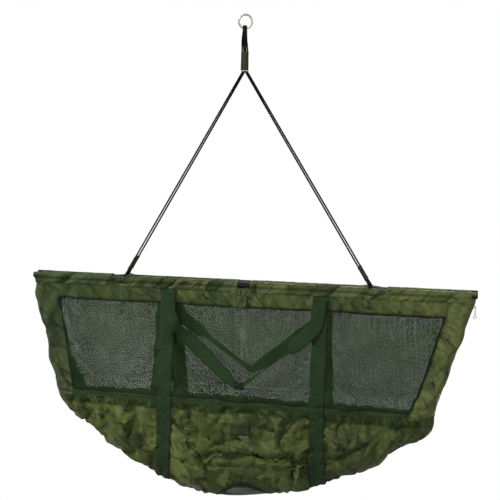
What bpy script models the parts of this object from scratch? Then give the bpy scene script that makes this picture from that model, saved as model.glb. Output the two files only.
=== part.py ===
"""Carp weigh sling, hanging from its scale ring with the mouth closed.

X runs along the poles, Y from the front wall to the back wall and Z up. The origin is
where a scale's hook bears, inside the top of the ring. All sizes are in metres.
"""

import math

import bmesh
import bpy
from mathutils import Matrix, Vector

# Clearances shared by many pieces
FIT = 0.0003  # between pieces that touch
SEAM = 0.0008  # between sewn edges, and where a fold has to turn
CUT_OVERRUN = 0.004  # how far a cutter passes the face that it cuts
MERGE = 0.00001  # points closer than this are one point

# Scale ring
RING_DIAMETER = 0.036
RING_WIRE = 0.005

# Cords
CORD = 0.0044
STRAND_PITCH = 0.0050  # centre to centre of two strands lying side by side
CORD_FIT = 0.0004  # between a cord and what it loops round
CORD_STEP = 0.020  # between the points of a straight stretch
STRAIGHT_START = 0.010  # how far a leg runs straight out of the sleeve

# Webbing sleeve that gathers the cords
SLEEVE_DROP = 0.088  # of its top, below the hook
SLEEVE_LENGTH = 0.046
SLEEVE_WALL = 0.0014
SLEEVE_TAB = 0.0042  # the sewn tail beside the round part
SLEEVE_TAB_THICKNESS = 0.0032

# Poles
POLE_DROP = 0.689  # of the pole axes, below the hook
POLE_SPACING = 0.025
POLE_LINE = 1.200  # over the end caps
POLE = 0.012
POLE_WALL = 0.001
COLLAR = 0.0146
COLLAR_LENGTH = 0.028
SPIGOT_REACH = 0.036  # into each pole half
CAP = 0.0165
CAP_LENGTH = 0.015
CAP_END = 0.003
CAP_EDGE = 0.0015

# Cord eyes round the poles
EYE_X = 0.3370  # from the middle to each eye
EYE_MERGE = 0.026  # above the pole, where the two strands lie side by side again
WHIPPING_LENGTH = 0.044
WHIPPING_WALL = 0.0009
TAIL_SHORT = 0.003  # how far the cord's end stops inside the whipping

# Pole pockets
POCKET_BORE = 0.0134
POCKET_WALL = 0.0011
POCKET_START = 0.0165  # from the middle, beside the coupling
POCKET_TAIL = 0.0200  # from the pole axis down to the seam
POCKET_TAIL_THICKNESS = 0.0022
NOTCH_START = 0.3280
NOTCH_LENGTH = 0.0490
NOTCH_DEPTH = 0.0125  # below the pole axis

# Front and back walls, down to the seam above the bowl
SEAM_DROP = 0.311  # below the pole axes
HALF_GIRTH = 0.075  # from the middle plane to each wall at that seam
FABRIC = 0.0010
WALL_TOP_HALF = 0.562
WALL_BOTTOM_HALF = 0.456
WINDOW_TOP = 0.058  # below the pole axes, as the next one
WINDOW_BOTTOM = 0.298
OUTER_HEM_TOP = 0.0220  # nylon left beside the outer windows, at their tops
OUTER_HEM_BOTTOM = 0.0184  # and at their bottoms
OUTER_WINDOW_INNER_HALF = 0.236
MIDDLE_WINDOW_HALF = 0.182
NET_CORD = 0.0030
NET_COLUMNS = 4
NET_ROWS = 3

# Webbing straps and carry handles
STRAP_WIDTH = 0.039
STRAP_THICKNESS = 0.0016
STRAP_X = 0.206
STRAP_TURN = 0.0016  # left free above the seam, where the strap folds
HANDLE_DROP = 0.094  # of its sewn ends, below the pole axes
HANDLE_HANG = 0.172  # from the sewn ends down to the grip
HANDLE_GRIP_WIDTH = 0.014
HANDLE_ARM_SHARES = ((0.84, 0.20), (0.52, 0.56))  # of STRAP_X and HANDLE_HANG
HANDLE_BEND_SHARES = (0.22, 0.90)  # where the arms gather towards the grip
WRAP_LENGTH = 0.020
WRAP_WALL = 0.0016

# End zips
ZIP_TOP_DROP = 0.016  # below the pole axes
ZIP_TOP_X = 0.5940
ZIP_BOTTOM_X = 0.503
ZIP_SPLIT = 0.0032  # between the two tapes
TAPE_WIDTH = 0.010
TAPE_THICKNESS = 0.0010
SLIDER_LENGTH = 0.014
SLIDER_WIDTH = 0.010
SLIDER_PLATE = 0.0012
SLIDER_FIT = 0.0006  # between its plates and the tapes
SLIDER_START = 0.008  # of its top, below the top of the zip
SLIDER_POST = 0.0020
SLIDER_POST_LENGTH = 0.0030
SLIDER_POST_INSET = 0.0005  # from the plates' top edges
BAIL_WIRE = 0.0014
BAIL_LEG = 0.0012
BAIL_HEIGHT = 0.0032  # of the bar, over the outer plate
BAIL_WIDTH = 0.0060
PULL_THICKNESS = 0.0016
PULL_EYE = 0.0048
PULL_EYE_FIT = 0.0004
PULL_SHANK = 0.0024
PULL_LENGTH = 0.026  # from the bar to the finger ring's middle
PULL_RING = 0.0085
PULL_RING_BORE = 0.0050

# Bowl under the seam
BOWL_DEPTH = 0.280  # of the keel's middle, below the seam
KEEL_END_SHARE = 0.135  # of the bowl's depth, left at the lower ends of the zips
FULLNESS_SHARE = 0.74  # how boxy the cross-section is: 1 would be an ellipse
KEEL_DRAIN_HALF_LENGTH = 0.082
KEEL_DRAIN_HALF_WIDTH = 0.036
CORNER_DRAIN_HALF_LENGTH = 0.022
CORNER_DRAIN_HALF_WIDTH = 0.026
CORNER_DRAIN_X = 0.418

# Fineness of round shapes
RING_POINTS = 28
TURNED_SIDES = 16
SLEEVE_SIDES = 20
EYE_STEPS = 9
BOWL_SPANS = (3, 1, 7, 1, 1)  # panels between the marked cross-sections, middle to zip
BOWL_ARC_STEPS = 14
DRAIN_SIDES = 16

# Places worked out from the sizes above
RING_RADIUS = (RING_DIAMETER - RING_WIRE) / 2
RING_CENTRE_Z = RING_WIRE / 2 - RING_RADIUS
RING_FOOT_Z = RING_CENTRE_Z - RING_RADIUS
SLEEVE_MOUTH_Z = -SLEEVE_DROP - SLEEVE_LENGTH
POLE_Z = -POLE_DROP
POLE_Y = POLE_SPACING / 2
SEAM_Z = POLE_Z - SEAM_DROP
WALL_LEAN = math.atan2(HALF_GIRTH - POLE_Y, SEAM_DROP)
WALL_REACH = math.hypot(HALF_GIRTH - POLE_Y, SEAM_DROP)
STRAP_OUT = FABRIC / 2 + FIT  # from the wall's middle plane to the strap's inner face
HANDLE_OUT = STRAP_OUT + STRAP_THICKNESS + FIT * 2

SIDES = {"left": -1, "right": 1}
FACES = {"front": -1, "back": 1}


def material(name, colour, roughness, metallic=0.0):
    """A plain Principled material."""
    made = bpy.data.materials.new(name)
    made.use_nodes = True
    shader = made.node_tree.nodes["Principled BSDF"]
    shader.inputs["Base Color"].default_value = (*colour, 1.0)
    shader.inputs["Roughness"].default_value = roughness
    shader.inputs["Metallic"].default_value = metallic
    made.diffuse_color = (*colour, 1.0)
    return made


def hang_on(child, joint):
    """Parents an object to a joint's empty and leaves it where it is."""
    if joint:
        child.parent = joint
        child.matrix_parent_inverse = Matrix.Translation(-joint.location)


def add_object(name, data, surface, joint):
    """Links one piece and hangs it on the empty that stands for its joint."""
    piece = bpy.data.objects.new(name, data)
    bpy.context.scene.collection.objects.link(piece)
    own = surface.copy()
    own.name = f"{name}_{surface.name}"
    data.materials.append(own)
    hang_on(piece, joint)
    return piece


def mesh_piece(name, bm, surface, joint, smooth=False):
    """Turns a bmesh into a piece."""
    data = bpy.data.meshes.new(name)
    bm.to_mesh(data)
    bm.free()
    piece = add_object(name, data, surface, joint)
    if smooth:
        data.shade_smooth()
        data.set_sharp_from_angle(angle=math.radians(40))
    return piece


def joint_empty(name, place, parent=None):
    """An empty on a joint's axis, carried by the joint above it."""
    empty = bpy.data.objects.new(name, None)
    empty.location = place
    bpy.context.scene.collection.objects.link(empty)
    hang_on(empty, parent)
    return empty


def smooth_route(points, step):
    """Points about one step apart on a smooth curve through the route's own points."""
    ends = [2 * points[0] - points[1], *points, 2 * points[-1] - points[-2]]
    found = []
    for a, b, c, d in zip(ends, ends[1:], ends[2:], ends[3:]):
        parts = max(1, round((c - b).length / step))
        reach = (c - b).length
        leave = (c - a).normalized() * reach
        arrive = (d - b).normalized() * reach
        for k in range(parts):
            t = k / parts
            found.append(
                b * (2 * t**3 - 3 * t**2 + 1)
                + leave * (t**3 - 2 * t**2 + t)
                + c * (3 * t**2 - 2 * t**3)
                + arrive * (t**3 - t**2)
            )
    found.append(points[-1])
    return found


def tube(name, points, diameter, surface, joint, closed=False):
    """A round cord or wire along the points, with filled ends."""
    curve = bpy.data.curves.new(name, "CURVE")
    curve.dimensions = "3D"
    curve.bevel_depth = diameter / 2
    curve.bevel_resolution = 2
    curve.use_fill_caps = True
    line = curve.splines.new("POLY")
    line.points.add(len(points) - 1)
    for slot, point in zip(line.points, points):
        slot.co = (*point, 1.0)
    line.use_cyclic_u = closed
    line.use_smooth = True
    return add_object(name, curve, surface, joint)


def turned(name, profile, place, surface, joint):
    """A piece turned round an axis along X, from (x, radius) points in order."""
    bm = bmesh.new()
    ring = [bm.verts.new((x, 0, radius)) for x, radius in profile]
    edges = [bm.edges.new(pair) for pair in zip(ring, ring[1:])]
    if profile[0][1] > 0:
        edges.append(bm.edges.new((ring[-1], ring[0])))
    bmesh.ops.spin(
        bm,
        geom=ring + edges,
        cent=(0, 0, 0),
        axis=(1, 0, 0),
        angle=math.tau,
        steps=TURNED_SIDES,
        use_merge=True,
    )
    bmesh.ops.remove_doubles(bm, verts=bm.verts, dist=MERGE)
    bmesh.ops.recalc_face_normals(bm, faces=bm.faces)
    bmesh.ops.translate(bm, verts=bm.verts, vec=place)
    return mesh_piece(name, bm, surface, joint, smooth=True)


def grid(rows, closed_ends=False):
    """A bmesh of quads over equal rows of points; a closed end draws its row to one line."""
    bm = bmesh.new()
    verts = [[bm.verts.new(p) for p in row] for row in rows]
    for near, far in zip(verts, verts[1:]):
        for i in range(len(near) - 1):
            bm.faces.new((near[i], near[i + 1], far[i + 1], far[i]))
    if closed_ends:
        bmesh.ops.remove_doubles(bm, verts=bm.verts, dist=MERGE)
    return bm


def thicken(piece, thickness, offset=0.0):
    """Gives a sheet its thickness: offset -1 grows it inwards and 1 outwards."""
    solid = piece.modifiers.new("thickness", "SOLIDIFY")
    solid.thickness = thickness
    solid.offset = offset
    solid.use_even_offset = True
    return piece


def sheet_piece(name, rows, thickness, surface, joint):
    """A sheet through rows of points, thickened evenly to both sides."""
    return thicken(mesh_piece(name, grid(rows), surface, joint), thickness)


def combine(piece, tool, operation):
    """Joins, cuts or keeps with a second mesh, which is then only a guide."""
    tool.hide_render = True
    tool.display_type = "WIRE"
    step = piece.modifiers.new(operation.lower(), "BOOLEAN")
    step.operation = operation
    step.object = tool
    step.solver = "EXACT"


def prism(name, outline, offset, surface=None, joint=None):
    """A solid between an outline and the same outline moved by the offset."""
    bm = bmesh.new()
    base = [bm.verts.new(p) for p in outline]
    face = bm.faces.new(base)
    grown = bmesh.ops.extrude_face_region(bm, geom=[face])
    moved = [v for v in grown["geom"] if isinstance(v, bmesh.types.BMVert)]
    bmesh.ops.translate(bm, verts=moved, vec=offset)
    bmesh.ops.recalc_face_normals(bm, faces=bm.faces)
    return mesh_piece(name, bm, surface or GUIDE, joint)


def oval(centre, across, up, sides):
    """Points round an oval with the given half axes."""
    turns = [math.tau * k / sides for k in range(sides)]
    return [centre + across * math.cos(t) + up * math.sin(t) for t in turns]


def hollow_prism(name, outer, inner, offset, surface, joint):
    """A solid between two loops with as many points, carried along the offset."""
    bm = bmesh.new()
    loops = [
        [bm.verts.new(p + shift) for p in loop]
        for shift in (Vector(), offset)
        for loop in (outer, inner)
    ]
    near_outer, near_inner, far_outer, far_inner = loops
    count = len(outer)
    for i in range(count):
        j = (i + 1) % count
        bm.faces.new((near_outer[i], near_outer[j], near_inner[j], near_inner[i]))
        bm.faces.new((far_inner[i], far_inner[j], far_outer[j], far_outer[i]))
        bm.faces.new((near_outer[i], far_outer[i], far_outer[j], near_outer[j]))
        bm.faces.new((near_inner[j], far_inner[j], far_inner[i], near_inner[i]))
    bmesh.ops.recalc_face_normals(bm, faces=bm.faces)
    return mesh_piece(name, bm, surface, joint)


def wall_point(face, x, down, out=0.0):
    """A point of a wall: so far down it from its pole axis, and so far out of it."""
    y = POLE_Y + down * math.sin(WALL_LEAN) + out * math.cos(WALL_LEAN)
    z = POLE_Z - down * math.cos(WALL_LEAN) + out * math.sin(WALL_LEAN)
    return Vector((x, face * y, z))


def down_wall(drop):
    """How far down a wall a height below the pole axes lies."""
    return drop / math.cos(WALL_LEAN)


def between(start, end, share):
    return start + (end - start) * share


def wall_half(drop):
    """Half the wall's width at a height below the pole axes."""
    return between(WALL_TOP_HALF, WALL_BOTTOM_HALF, drop / SEAM_DROP)


def zip_x(drop):
    """How far out the zip runs at a height below the pole axes."""
    share = (drop - ZIP_TOP_DROP) / (SEAM_DROP - ZIP_TOP_DROP)
    return between(ZIP_TOP_X, ZIP_BOTTOM_X, share)


def make_ring():
    centre = Vector((0, 0, RING_CENTRE_Z))
    across = Vector((RING_RADIUS, 0, 0))
    up = Vector((0, 0, RING_RADIUS))
    points = oval(centre, across, up, RING_POINTS)
    tube("scale_ring", points, RING_WIRE, STEEL, None, closed=True)


def make_cord_loops(joint):
    """The two bights that hang on the foot of the ring, down to the sleeve's mouth."""
    turn = (RING_WIRE + CORD) / 2 + CORD_FIT
    lift = RING_RADIUS - math.sqrt(RING_RADIUS**2 - (STRAND_PITCH / 2) ** 2)
    wire_z = RING_FOOT_Z + lift
    for side, sign in SIDES.items():
        x = sign * STRAND_PITCH / 2
        front = [
            Vector((x, -STRAND_PITCH / 2, SLEEVE_MOUTH_Z)),
            Vector((x, -STRAND_PITCH / 2, -SLEEVE_DROP)),
            Vector((x, -turn, wire_z - turn)),
        ]
        arc = [
            Vector((x, -turn * math.cos(t), wire_z + turn * math.sin(t)))
            for t in (math.pi * k / EYE_STEPS for k in range(EYE_STEPS + 1))
        ]
        back = [Vector((x, -p.y, p.z)) for p in reversed(front)]
        route = smooth_route(front + arc + back, CORD_STEP)
        tube(f"cord_loop_{side}", route, CORD, CORD_BLACK, joint)


def make_sleeve(joint):
    """The folded webbing sewn round the four strands, with its tail at the left."""
    bore = STRAND_PITCH / math.sqrt(2) + CORD / 2 + CORD_FIT
    outer_radius = bore + SLEEVE_WALL
    half_tab = SLEEVE_TAB_THICKNESS / 2
    mouth = Vector((0, 0, SLEEVE_MOUTH_Z))
    outer = []
    inner = []
    for k in range(SLEEVE_SIDES):
        turn = math.tau * k / SLEEVE_SIDES
        at = Vector((math.cos(turn), math.sin(turn), 0))
        inner.append(mouth + at * bore)
        from_tail = SLEEVE_SIDES // 2 - k
        if abs(from_tail) <= 1:
            tail = Vector((-outer_radius - SLEEVE_TAB, from_tail * half_tab, 0))
            outer.append(mouth + tail)
        else:
            outer.append(mouth + at * outer_radius)
    up = Vector((0, 0, SLEEVE_LENGTH))
    hollow_prism("cord_sleeve", outer, inner, up, WEBBING, joint)


def eye_frame(sign, face):
    """Where a leg meets its pole: the pole's axis there, and the leg's way up."""
    foot = Vector((sign * EYE_X, face * POLE_Y, POLE_Z))
    top = Vector((sign * STRAND_PITCH / 2, foot.y, SLEEVE_MOUTH_Z))
    return foot, (top - foot).normalized()


def make_cord_leg(side, sign, label, face, joint):
    """One leg, from the sleeve round its pole and back up into its whipping."""
    foot, up = eye_frame(sign, face)
    across = Vector((0, face, 0))
    clear = (POLE + CORD) / 2 + CORD_FIT
    tall = clear / up.z
    half_pitch = STRAND_PITCH / 2
    start = Vector((sign * half_pitch, face * half_pitch, SLEEVE_MOUTH_Z - SEAM))
    whipping_top = EYE_MERGE + WHIPPING_LENGTH
    tail_end = whipping_top - TAIL_SHORT
    outer_strand = [whipping_top + CORD_STEP, whipping_top, EYE_MERGE + CORD, EYE_MERGE]
    inner_strand = [EYE_MERGE, EYE_MERGE + CORD, tail_end]
    route = [start, start - Vector((0, 0, STRAIGHT_START))]
    route += [foot + up * h + across * half_pitch for h in outer_strand]
    for k in range(EYE_STEPS + 1):
        t = math.pi * k / EYE_STEPS
        route.append(foot + across * clear * math.cos(t) - up * tall * math.sin(t))
    route += [foot + up * h - across * half_pitch for h in inner_strand]
    points = smooth_route(route, CORD_STEP)
    tube(f"cord_leg_{label}_{side}", points, CORD, CORD_BLACK, joint)


def make_whipping(side, sign, label, face, joint):
    """The flat binding that holds a leg's end against the leg."""
    foot, up = eye_frame(sign, face)
    across = Vector((0, face, 0))
    along = up.cross(across)
    bore = CORD / 2 + CORD_FIT
    half_pitch = STRAND_PITCH / 2
    base = foot + up * (EYE_MERGE + CORD)
    loops = []
    for radius in (bore + WHIPPING_WALL, bore):
        loop = []
        for k in range(TURNED_SIDES):
            t = math.tau * (k + 0.5) / TURNED_SIDES
            shift = half_pitch if math.cos(t) > 0 else -half_pitch
            loop.append(
                base
                + across * (shift + radius * math.cos(t))
                + along * radius * math.sin(t)
            )
        loops.append(loop)
    reach = up * (WHIPPING_LENGTH - CORD)
    name = f"cord_whipping_{label}_{side}"
    hollow_prism(name, loops[0], loops[1], reach, THREAD, joint)


def make_pole_half(side, sign, label, face, joint):
    """A thin tube from the coupling's collar into the end cap, and its rubber cap."""
    place = Vector((0, face * POLE_Y, POLE_Z))
    near = COLLAR_LENGTH / 2 + FIT
    far = POLE_LINE / 2 - CAP_END - FIT
    outer = POLE / 2
    inner = outer - POLE_WALL
    profile = [(near, inner), (near, outer), (far, outer), (far, inner)]
    profile = [(sign * x, r) for x, r in profile]
    turned(f"pole_{label}_{side}", profile, place, POLE_BLACK, joint)
    tip = POLE_LINE / 2
    lip = tip - CAP_LENGTH
    bore = outer + FIT
    cap = CAP / 2
    profile = [
        (tip, 0),
        (tip, cap - CAP_EDGE),
        (tip - CAP_EDGE, cap),
        (lip, cap),
        (lip, bore),
        (tip - CAP_END, bore),
        (tip - CAP_END, 0),
    ]
    profile = [(sign * x, r) for x, r in profile]
    turned(f"pole_cap_{label}_{side}", profile, place, RUBBER, joint)


def make_coupling(label, face, joint):
    """The plug between the halves of a pole: a collar with a spigot each way."""
    collar_end = COLLAR_LENGTH / 2
    spigot_end = collar_end + SPIGOT_REACH
    spigot = POLE / 2 - POLE_WALL - FIT
    half = [
        (spigot_end, 0),
        (spigot_end, spigot - POLE_WALL / 2),
        (spigot_end - POLE_WALL, spigot),
        (collar_end, spigot),
        (collar_end, COLLAR / 2 - POLE_WALL / 2),
        (collar_end - POLE_WALL, COLLAR / 2),
    ]
    profile = half + [(-x, r) for x, r in reversed(half)]
    place = Vector((0, face * POLE_Y, POLE_Z))
    turned(f"pole_coupling_{label}", profile, place, POLE_BLACK, joint)


def make_pocket(side, sign, label, face, joint):
    """A sewn tube for half a pole, open where the cord's eye grips the pole."""
    inner_radius = POCKET_BORE / 2
    outer_radius = inner_radius + POCKET_WALL
    half_tail = POCKET_TAIL_THICKNESS / 2
    start = POCKET_START
    end = POLE_LINE / 2 - CAP_LENGTH - FIT
    neck = math.asin(half_tail / outer_radius)
    arc = math.tau - 2 * neck
    turns = [neck + arc * k / TURNED_SIDES for k in range(TURNED_SIDES + 1)]
    outer_line = [(outer_radius * math.cos(t), outer_radius * math.sin(t)) for t in turns]
    outer_line += [(POCKET_TAIL, -half_tail), (POCKET_TAIL, half_tail)]
    turns += [-neck / 3, neck / 3]
    inner_line = [(inner_radius * math.cos(t), inner_radius * math.sin(t)) for t in turns]
    outer = [wall_point(face, sign * start, down, out) for down, out in outer_line]
    inner = [wall_point(face, sign * start, down, out) for down, out in inner_line]
    along = Vector((sign * (end - start), 0, 0))
    name = f"pole_pocket_{label}_{side}"
    pocket = hollow_prism(name, outer, inner, along, NYLON, joint)
    reach = outer_radius + CUT_OVERRUN
    notch = [(NOTCH_DEPTH, reach), (NOTCH_DEPTH, -reach), (-reach, -reach), (-reach, reach)]
    outline = [wall_point(face, sign * NOTCH_START, d, n) for d, n in notch]
    cutter = prism(f"{name}_notch", outline, Vector((sign * NOTCH_LENGTH, 0, 0)))
    combine(pocket, cutter, "DIFFERENCE")


def panel_lines():
    """Half widths, top and bottom, of the wall's upright lines from middle to end."""
    end_top = wall_half(WINDOW_TOP)
    end_bottom = wall_half(WINDOW_BOTTOM)
    return [
        (MIDDLE_WINDOW_HALF, MIDDLE_WINDOW_HALF),
        (OUTER_WINDOW_INNER_HALF, OUTER_WINDOW_INNER_HALF),
        (end_top - OUTER_HEM_TOP, end_bottom - OUTER_HEM_BOTTOM),
        (end_top, end_bottom),
    ]


def line_at(line, drop):
    """Half width of an upright line at a height below the pole axes."""
    share = (drop - WINDOW_TOP) / (WINDOW_BOTTOM - WINDOW_TOP)
    return between(line[0], line[1], share)


def make_wall_panel(label, face, joint):
    """The nylon frame round the three windows of a wall."""
    top = (POCKET_TAIL + FIT) * math.cos(WALL_LEAN)
    bottom = SEAM_DROP - SEAM
    drops = [top, WINDOW_TOP, WINDOW_BOTTOM, bottom]
    lines = panel_lines()
    rows = []
    for drop in drops:
        halves = [line_at(line, drop) for line in lines]
        across = [-x for x in reversed(halves)] + halves
        rows.append([wall_point(face, x, down_wall(drop)) for x in across])
    bm = grid(rows)
    bm.faces.ensure_lookup_table()
    columns = len(rows[0]) - 1
    windows = [bm.faces[columns + c] for c in range(1, columns, 2)]
    bmesh.ops.delete(bm, geom=windows, context="FACES")
    panel = mesh_piece(f"wall_panel_{label}", bm, NYLON, joint)
    thicken(panel, FABRIC)


def make_window_net(name, corners, joint):
    """A diamond net stretched over four corners, given as two rows of two points."""
    columns = NET_COLUMNS * 2
    rows = NET_ROWS * 2
    bm = bmesh.new()
    nodes = {}

    def node(i, j):
        if (i, j) not in nodes:
            upper = between(corners[0][0], corners[0][1], i / columns)
            lower = between(corners[1][0], corners[1][1], i / columns)
            nodes[i, j] = bm.verts.new(between(upper, lower, j / rows))
        return nodes[i, j]

    for j in range(rows + 1):
        for i in range(columns + 1):
            if (i + j) % 2 == 0:
                continue
            around = [(i - 1, j), (i, j - 1), (i + 1, j), (i, j + 1)]
            inside = [p for p in around if 0 <= p[0] <= columns and 0 <= p[1] <= rows]
            bm.faces.new([node(*p) for p in inside])
    bm.normal_update()
    inset = bmesh.ops.inset_individual(
        bm, faces=bm.faces[:], thickness=NET_CORD / 2, use_even_offset=True
    )
    rim = set(inset["faces"])
    holes = [f for f in bm.faces if f not in rim]
    bmesh.ops.delete(bm, geom=holes, context="FACES")
    thicken(mesh_piece(name, bm, NET, joint), FABRIC)


def window_edges(place, drop):
    """Where a window's net starts and ends across the wall at a height."""
    middle, near, far = [line_at(line, drop) for line in panel_lines()[:3]]
    if place == "middle":
        return SEAM - middle, middle - SEAM
    if place == "left":
        return SEAM - far, -near - SEAM
    return near + SEAM, far - SEAM


def make_windows(label, face, joint):
    """The three nets of a wall, each a little smaller than its window."""
    for place in ("left", "middle", "right"):
        corners = []
        for drop in (WINDOW_TOP + SEAM, WINDOW_BOTTOM - SEAM):
            edges = window_edges(place, drop)
            corners.append([wall_point(face, x, down_wall(drop)) for x in edges])
        make_window_net(f"window_net_{label}_{place}", corners, joint)


def make_end_panel(side, sign, label, face, joint):
    """The side of the bag between a wall and its half of the end zip."""
    tape_edge = ZIP_SPLIT / 2 + TAPE_WIDTH + SEAM
    top = POCKET_TAIL * math.cos(WALL_LEAN) + SEAM
    rows = []
    for drop in (top, SEAM_DROP - SEAM):
        near = wall_point(face, sign * (wall_half(drop) + SEAM), down_wall(drop))
        near.y -= face * FIT
        far = Vector((sign * (zip_x(drop) - FIT), face * tape_edge, near.z))
        rows.append([near, far])
    sheet_piece(f"end_panel_{label}_{side}", rows, FABRIC, NYLON, joint)


def make_zip_tape(side, sign, label, face, joint):
    """Half of an end zip, from the pole ends to the seam."""
    edges = (ZIP_SPLIT / 2, ZIP_SPLIT / 2 + TAPE_WIDTH)
    rows = [
        [Vector((sign * zip_x(drop), face * y, POLE_Z - drop)) for y in edges]
        for drop in (ZIP_TOP_DROP, SEAM_DROP - SEAM)
    ]
    sheet_piece(f"zip_tape_{label}_{side}", rows, TAPE_THICKNESS, ZIP_CLOTH, joint)


def make_upper_strap(side, sign, label, face, joint):
    """Webbing sewn down the outside of a wall, to the seam."""
    middle_out = STRAP_OUT + STRAP_THICKNESS / 2
    rows = []
    for down in (POCKET_TAIL + FIT, WALL_REACH - SEAM - STRAP_TURN):
        edges = (STRAP_X - STRAP_WIDTH / 2, STRAP_X + STRAP_WIDTH / 2)
        rows.append([wall_point(face, sign * x, down, middle_out) for x in edges])
    name = f"strap_upper_{label}_{side}"
    sheet_piece(name, rows, STRAP_THICKNESS, WEBBING, joint)


def handle_line():
    """The handle's middle line and width on the wall, from its left end to its right."""
    half_grip = (WRAP_LENGTH + HANDLE_GRIP_WIDTH) / 2
    middle_width = (STRAP_WIDTH + HANDLE_GRIP_WIDTH) / 2
    half = [(Vector((-STRAP_X, 0)), STRAP_WIDTH)]
    for out_share, hang_share in HANDLE_ARM_SHARES:
        half.append((Vector((-STRAP_X * out_share, HANDLE_HANG * hang_share)), STRAP_WIDTH))
    out_share, hang_share = HANDLE_BEND_SHARES
    half.append((Vector((-STRAP_X * out_share, HANDLE_HANG * hang_share)), middle_width))
    half.append((Vector((-half_grip, HANDLE_HANG)), HANDLE_GRIP_WIDTH))
    return half + [(Vector((-p.x, p.y)), width) for p, width in reversed(half)]


def make_handle(label, face, joint):
    """The carry handle: webbing between the straps, gathered at the grip."""
    line = handle_line()
    middle_out = HANDLE_OUT + STRAP_THICKNESS / 2
    start = down_wall(HANDLE_DROP) + FIT
    upper = []
    lower = []
    for k, (point, width) in enumerate(line):
        way = Vector((0, 1 if k == 0 else -1))
        if 0 < k < len(line) - 1:
            way = (line[k + 1][0] - line[k - 1][0]).normalized()
        across = Vector((-way.y, way.x)) * width / 2
        for row, at in ((upper, point - across), (lower, point + across)):
            row.append(wall_point(face, at.x, start + max(at.y, 0.0), middle_out))
    name = f"carry_handle_{label}"
    sheet_piece(name, [upper, lower], STRAP_THICKNESS, WEBBING, joint)
    make_handle_wrap(label, face, start + HANDLE_HANG, middle_out, joint)


def make_handle_wrap(label, face, down, out, joint):
    """The binding round the middle of a handle."""
    loops = []
    for grow in (WRAP_WALL, 0.0):
        tall = HANDLE_GRIP_WIDTH / 2 + FIT + grow
        thick = STRAP_THICKNESS / 2 + FIT + grow
        corners = [(-tall, -thick), (tall, -thick), (tall, thick), (-tall, thick)]
        loops.append(
            [wall_point(face, -WRAP_LENGTH / 2, down + d, out + n) for d, n in corners]
        )
    along = Vector((WRAP_LENGTH, 0, 0))
    hollow_prism(f"handle_wrap_{label}", *loops, along, CORD_BLACK, joint)


def keel_drop(x):
    """Depth of the keel below the seam: a parabola, shallowest under the zips."""
    share = min(abs(x) / ZIP_BOTTOM_X, 1.0)
    return BOWL_DEPTH * (1 - (1 - KEEL_END_SHARE) * share**2)


def girth(x):
    """Half the bowl's width at the seam, which closes towards the zips."""
    if abs(x) <= WALL_BOTTOM_HALF:
        return HALF_GIRTH
    return HALF_GIRTH * max(ZIP_BOTTOM_X - abs(x), 0.0) / (ZIP_BOTTOM_X - WALL_BOTTOM_HALF)


def bowl_section(x, grow=0.0):
    """Points of the bowl's outside across the sling, from the front seam to the back."""
    half = girth(x) + grow
    deep = keel_drop(x) + grow
    section = []
    for k in range(BOWL_ARC_STEPS + 1):
        t = math.pi * k / BOWL_ARC_STEPS
        wide = math.copysign(abs(math.cos(t)) ** FULLNESS_SHARE, math.cos(t))
        section.append(Vector((x, -half * wide, SEAM_Z - deep * math.sin(t))))
    return section


def bowl_stations():
    """Where the bowl's cross-sections stand: at the strap edges, drains and corners."""
    strap_inner = STRAP_X - STRAP_WIDTH / 2
    strap_outer = STRAP_X + STRAP_WIDTH / 2
    near_zip = between(WALL_BOTTOM_HALF, ZIP_BOTTOM_X, 0.5)
    marks = [0.0, strap_inner, strap_outer, WALL_BOTTOM_HALF, near_zip, ZIP_BOTTOM_X]
    half = []
    for start, end, parts in zip(marks, marks[1:], BOWL_SPANS):
        half += [between(start, end, k / parts) for k in range(parts)]
    half.append(ZIP_BOTTOM_X)
    return [-x for x in reversed(half[1:])] + half


def bowl_sheet(name, surface, joint):
    """The bowl's whole skin, lofted over its cross-sections."""
    rows = [bowl_section(x) for x in bowl_stations()]
    bm = grid(rows, closed_ends=True)
    return thicken(mesh_piece(name, bm, surface, joint), FABRIC, offset=-1.0)


def make_drain(name, bowl, x, half_length, half_width, joint):
    """A patch of net over the keel, let into its own hole in the bowl."""
    centre = Vector((x, 0, SEAM_Z - BOWL_DEPTH - CUT_OVERRUN))
    reach = Vector((0, 0, BOWL_DEPTH))
    net = bowl_sheet(name, NET, joint)
    for piece, grow, operation in ((bowl, SEAM / 2, "DIFFERENCE"), (net, 0.0, "INTERSECT")):
        across = Vector((half_length + grow, 0, 0))
        along = Vector((0, half_width + grow, 0))
        outline = oval(centre, across, along, DRAIN_SIDES)
        combine(piece, prism(f"{name}_{operation.lower()}", outline, reach), operation)


def make_bowl(joint):
    """The closed lower part of the bag with its drains of net."""
    bowl = bowl_sheet("bag_bowl", NYLON, joint)
    keel = (KEEL_DRAIN_HALF_LENGTH, KEEL_DRAIN_HALF_WIDTH)
    corner = (CORNER_DRAIN_HALF_LENGTH, CORNER_DRAIN_HALF_WIDTH)
    make_drain("keel_drain_net", bowl, 0.0, *keel, joint)
    for side, sign in SIDES.items():
        make_drain(f"corner_drain_net_{side}", bowl, sign * CORNER_DRAIN_X, *corner, joint)


def make_under_strap(side, sign, joint):
    """Webbing that carries the load under the bowl, from seam to seam."""
    edges = (STRAP_X - STRAP_WIDTH / 2, STRAP_X + STRAP_WIDTH / 2)
    first, last = sorted(sign * x for x in edges)
    bm = grid([bowl_section(first, SEAM / 2), bowl_section(last, SEAM / 2)])
    strap = mesh_piece(f"strap_under_{side}", bm, WEBBING, joint)
    thicken(strap, STRAP_THICKNESS, offset=1.0)


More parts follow.
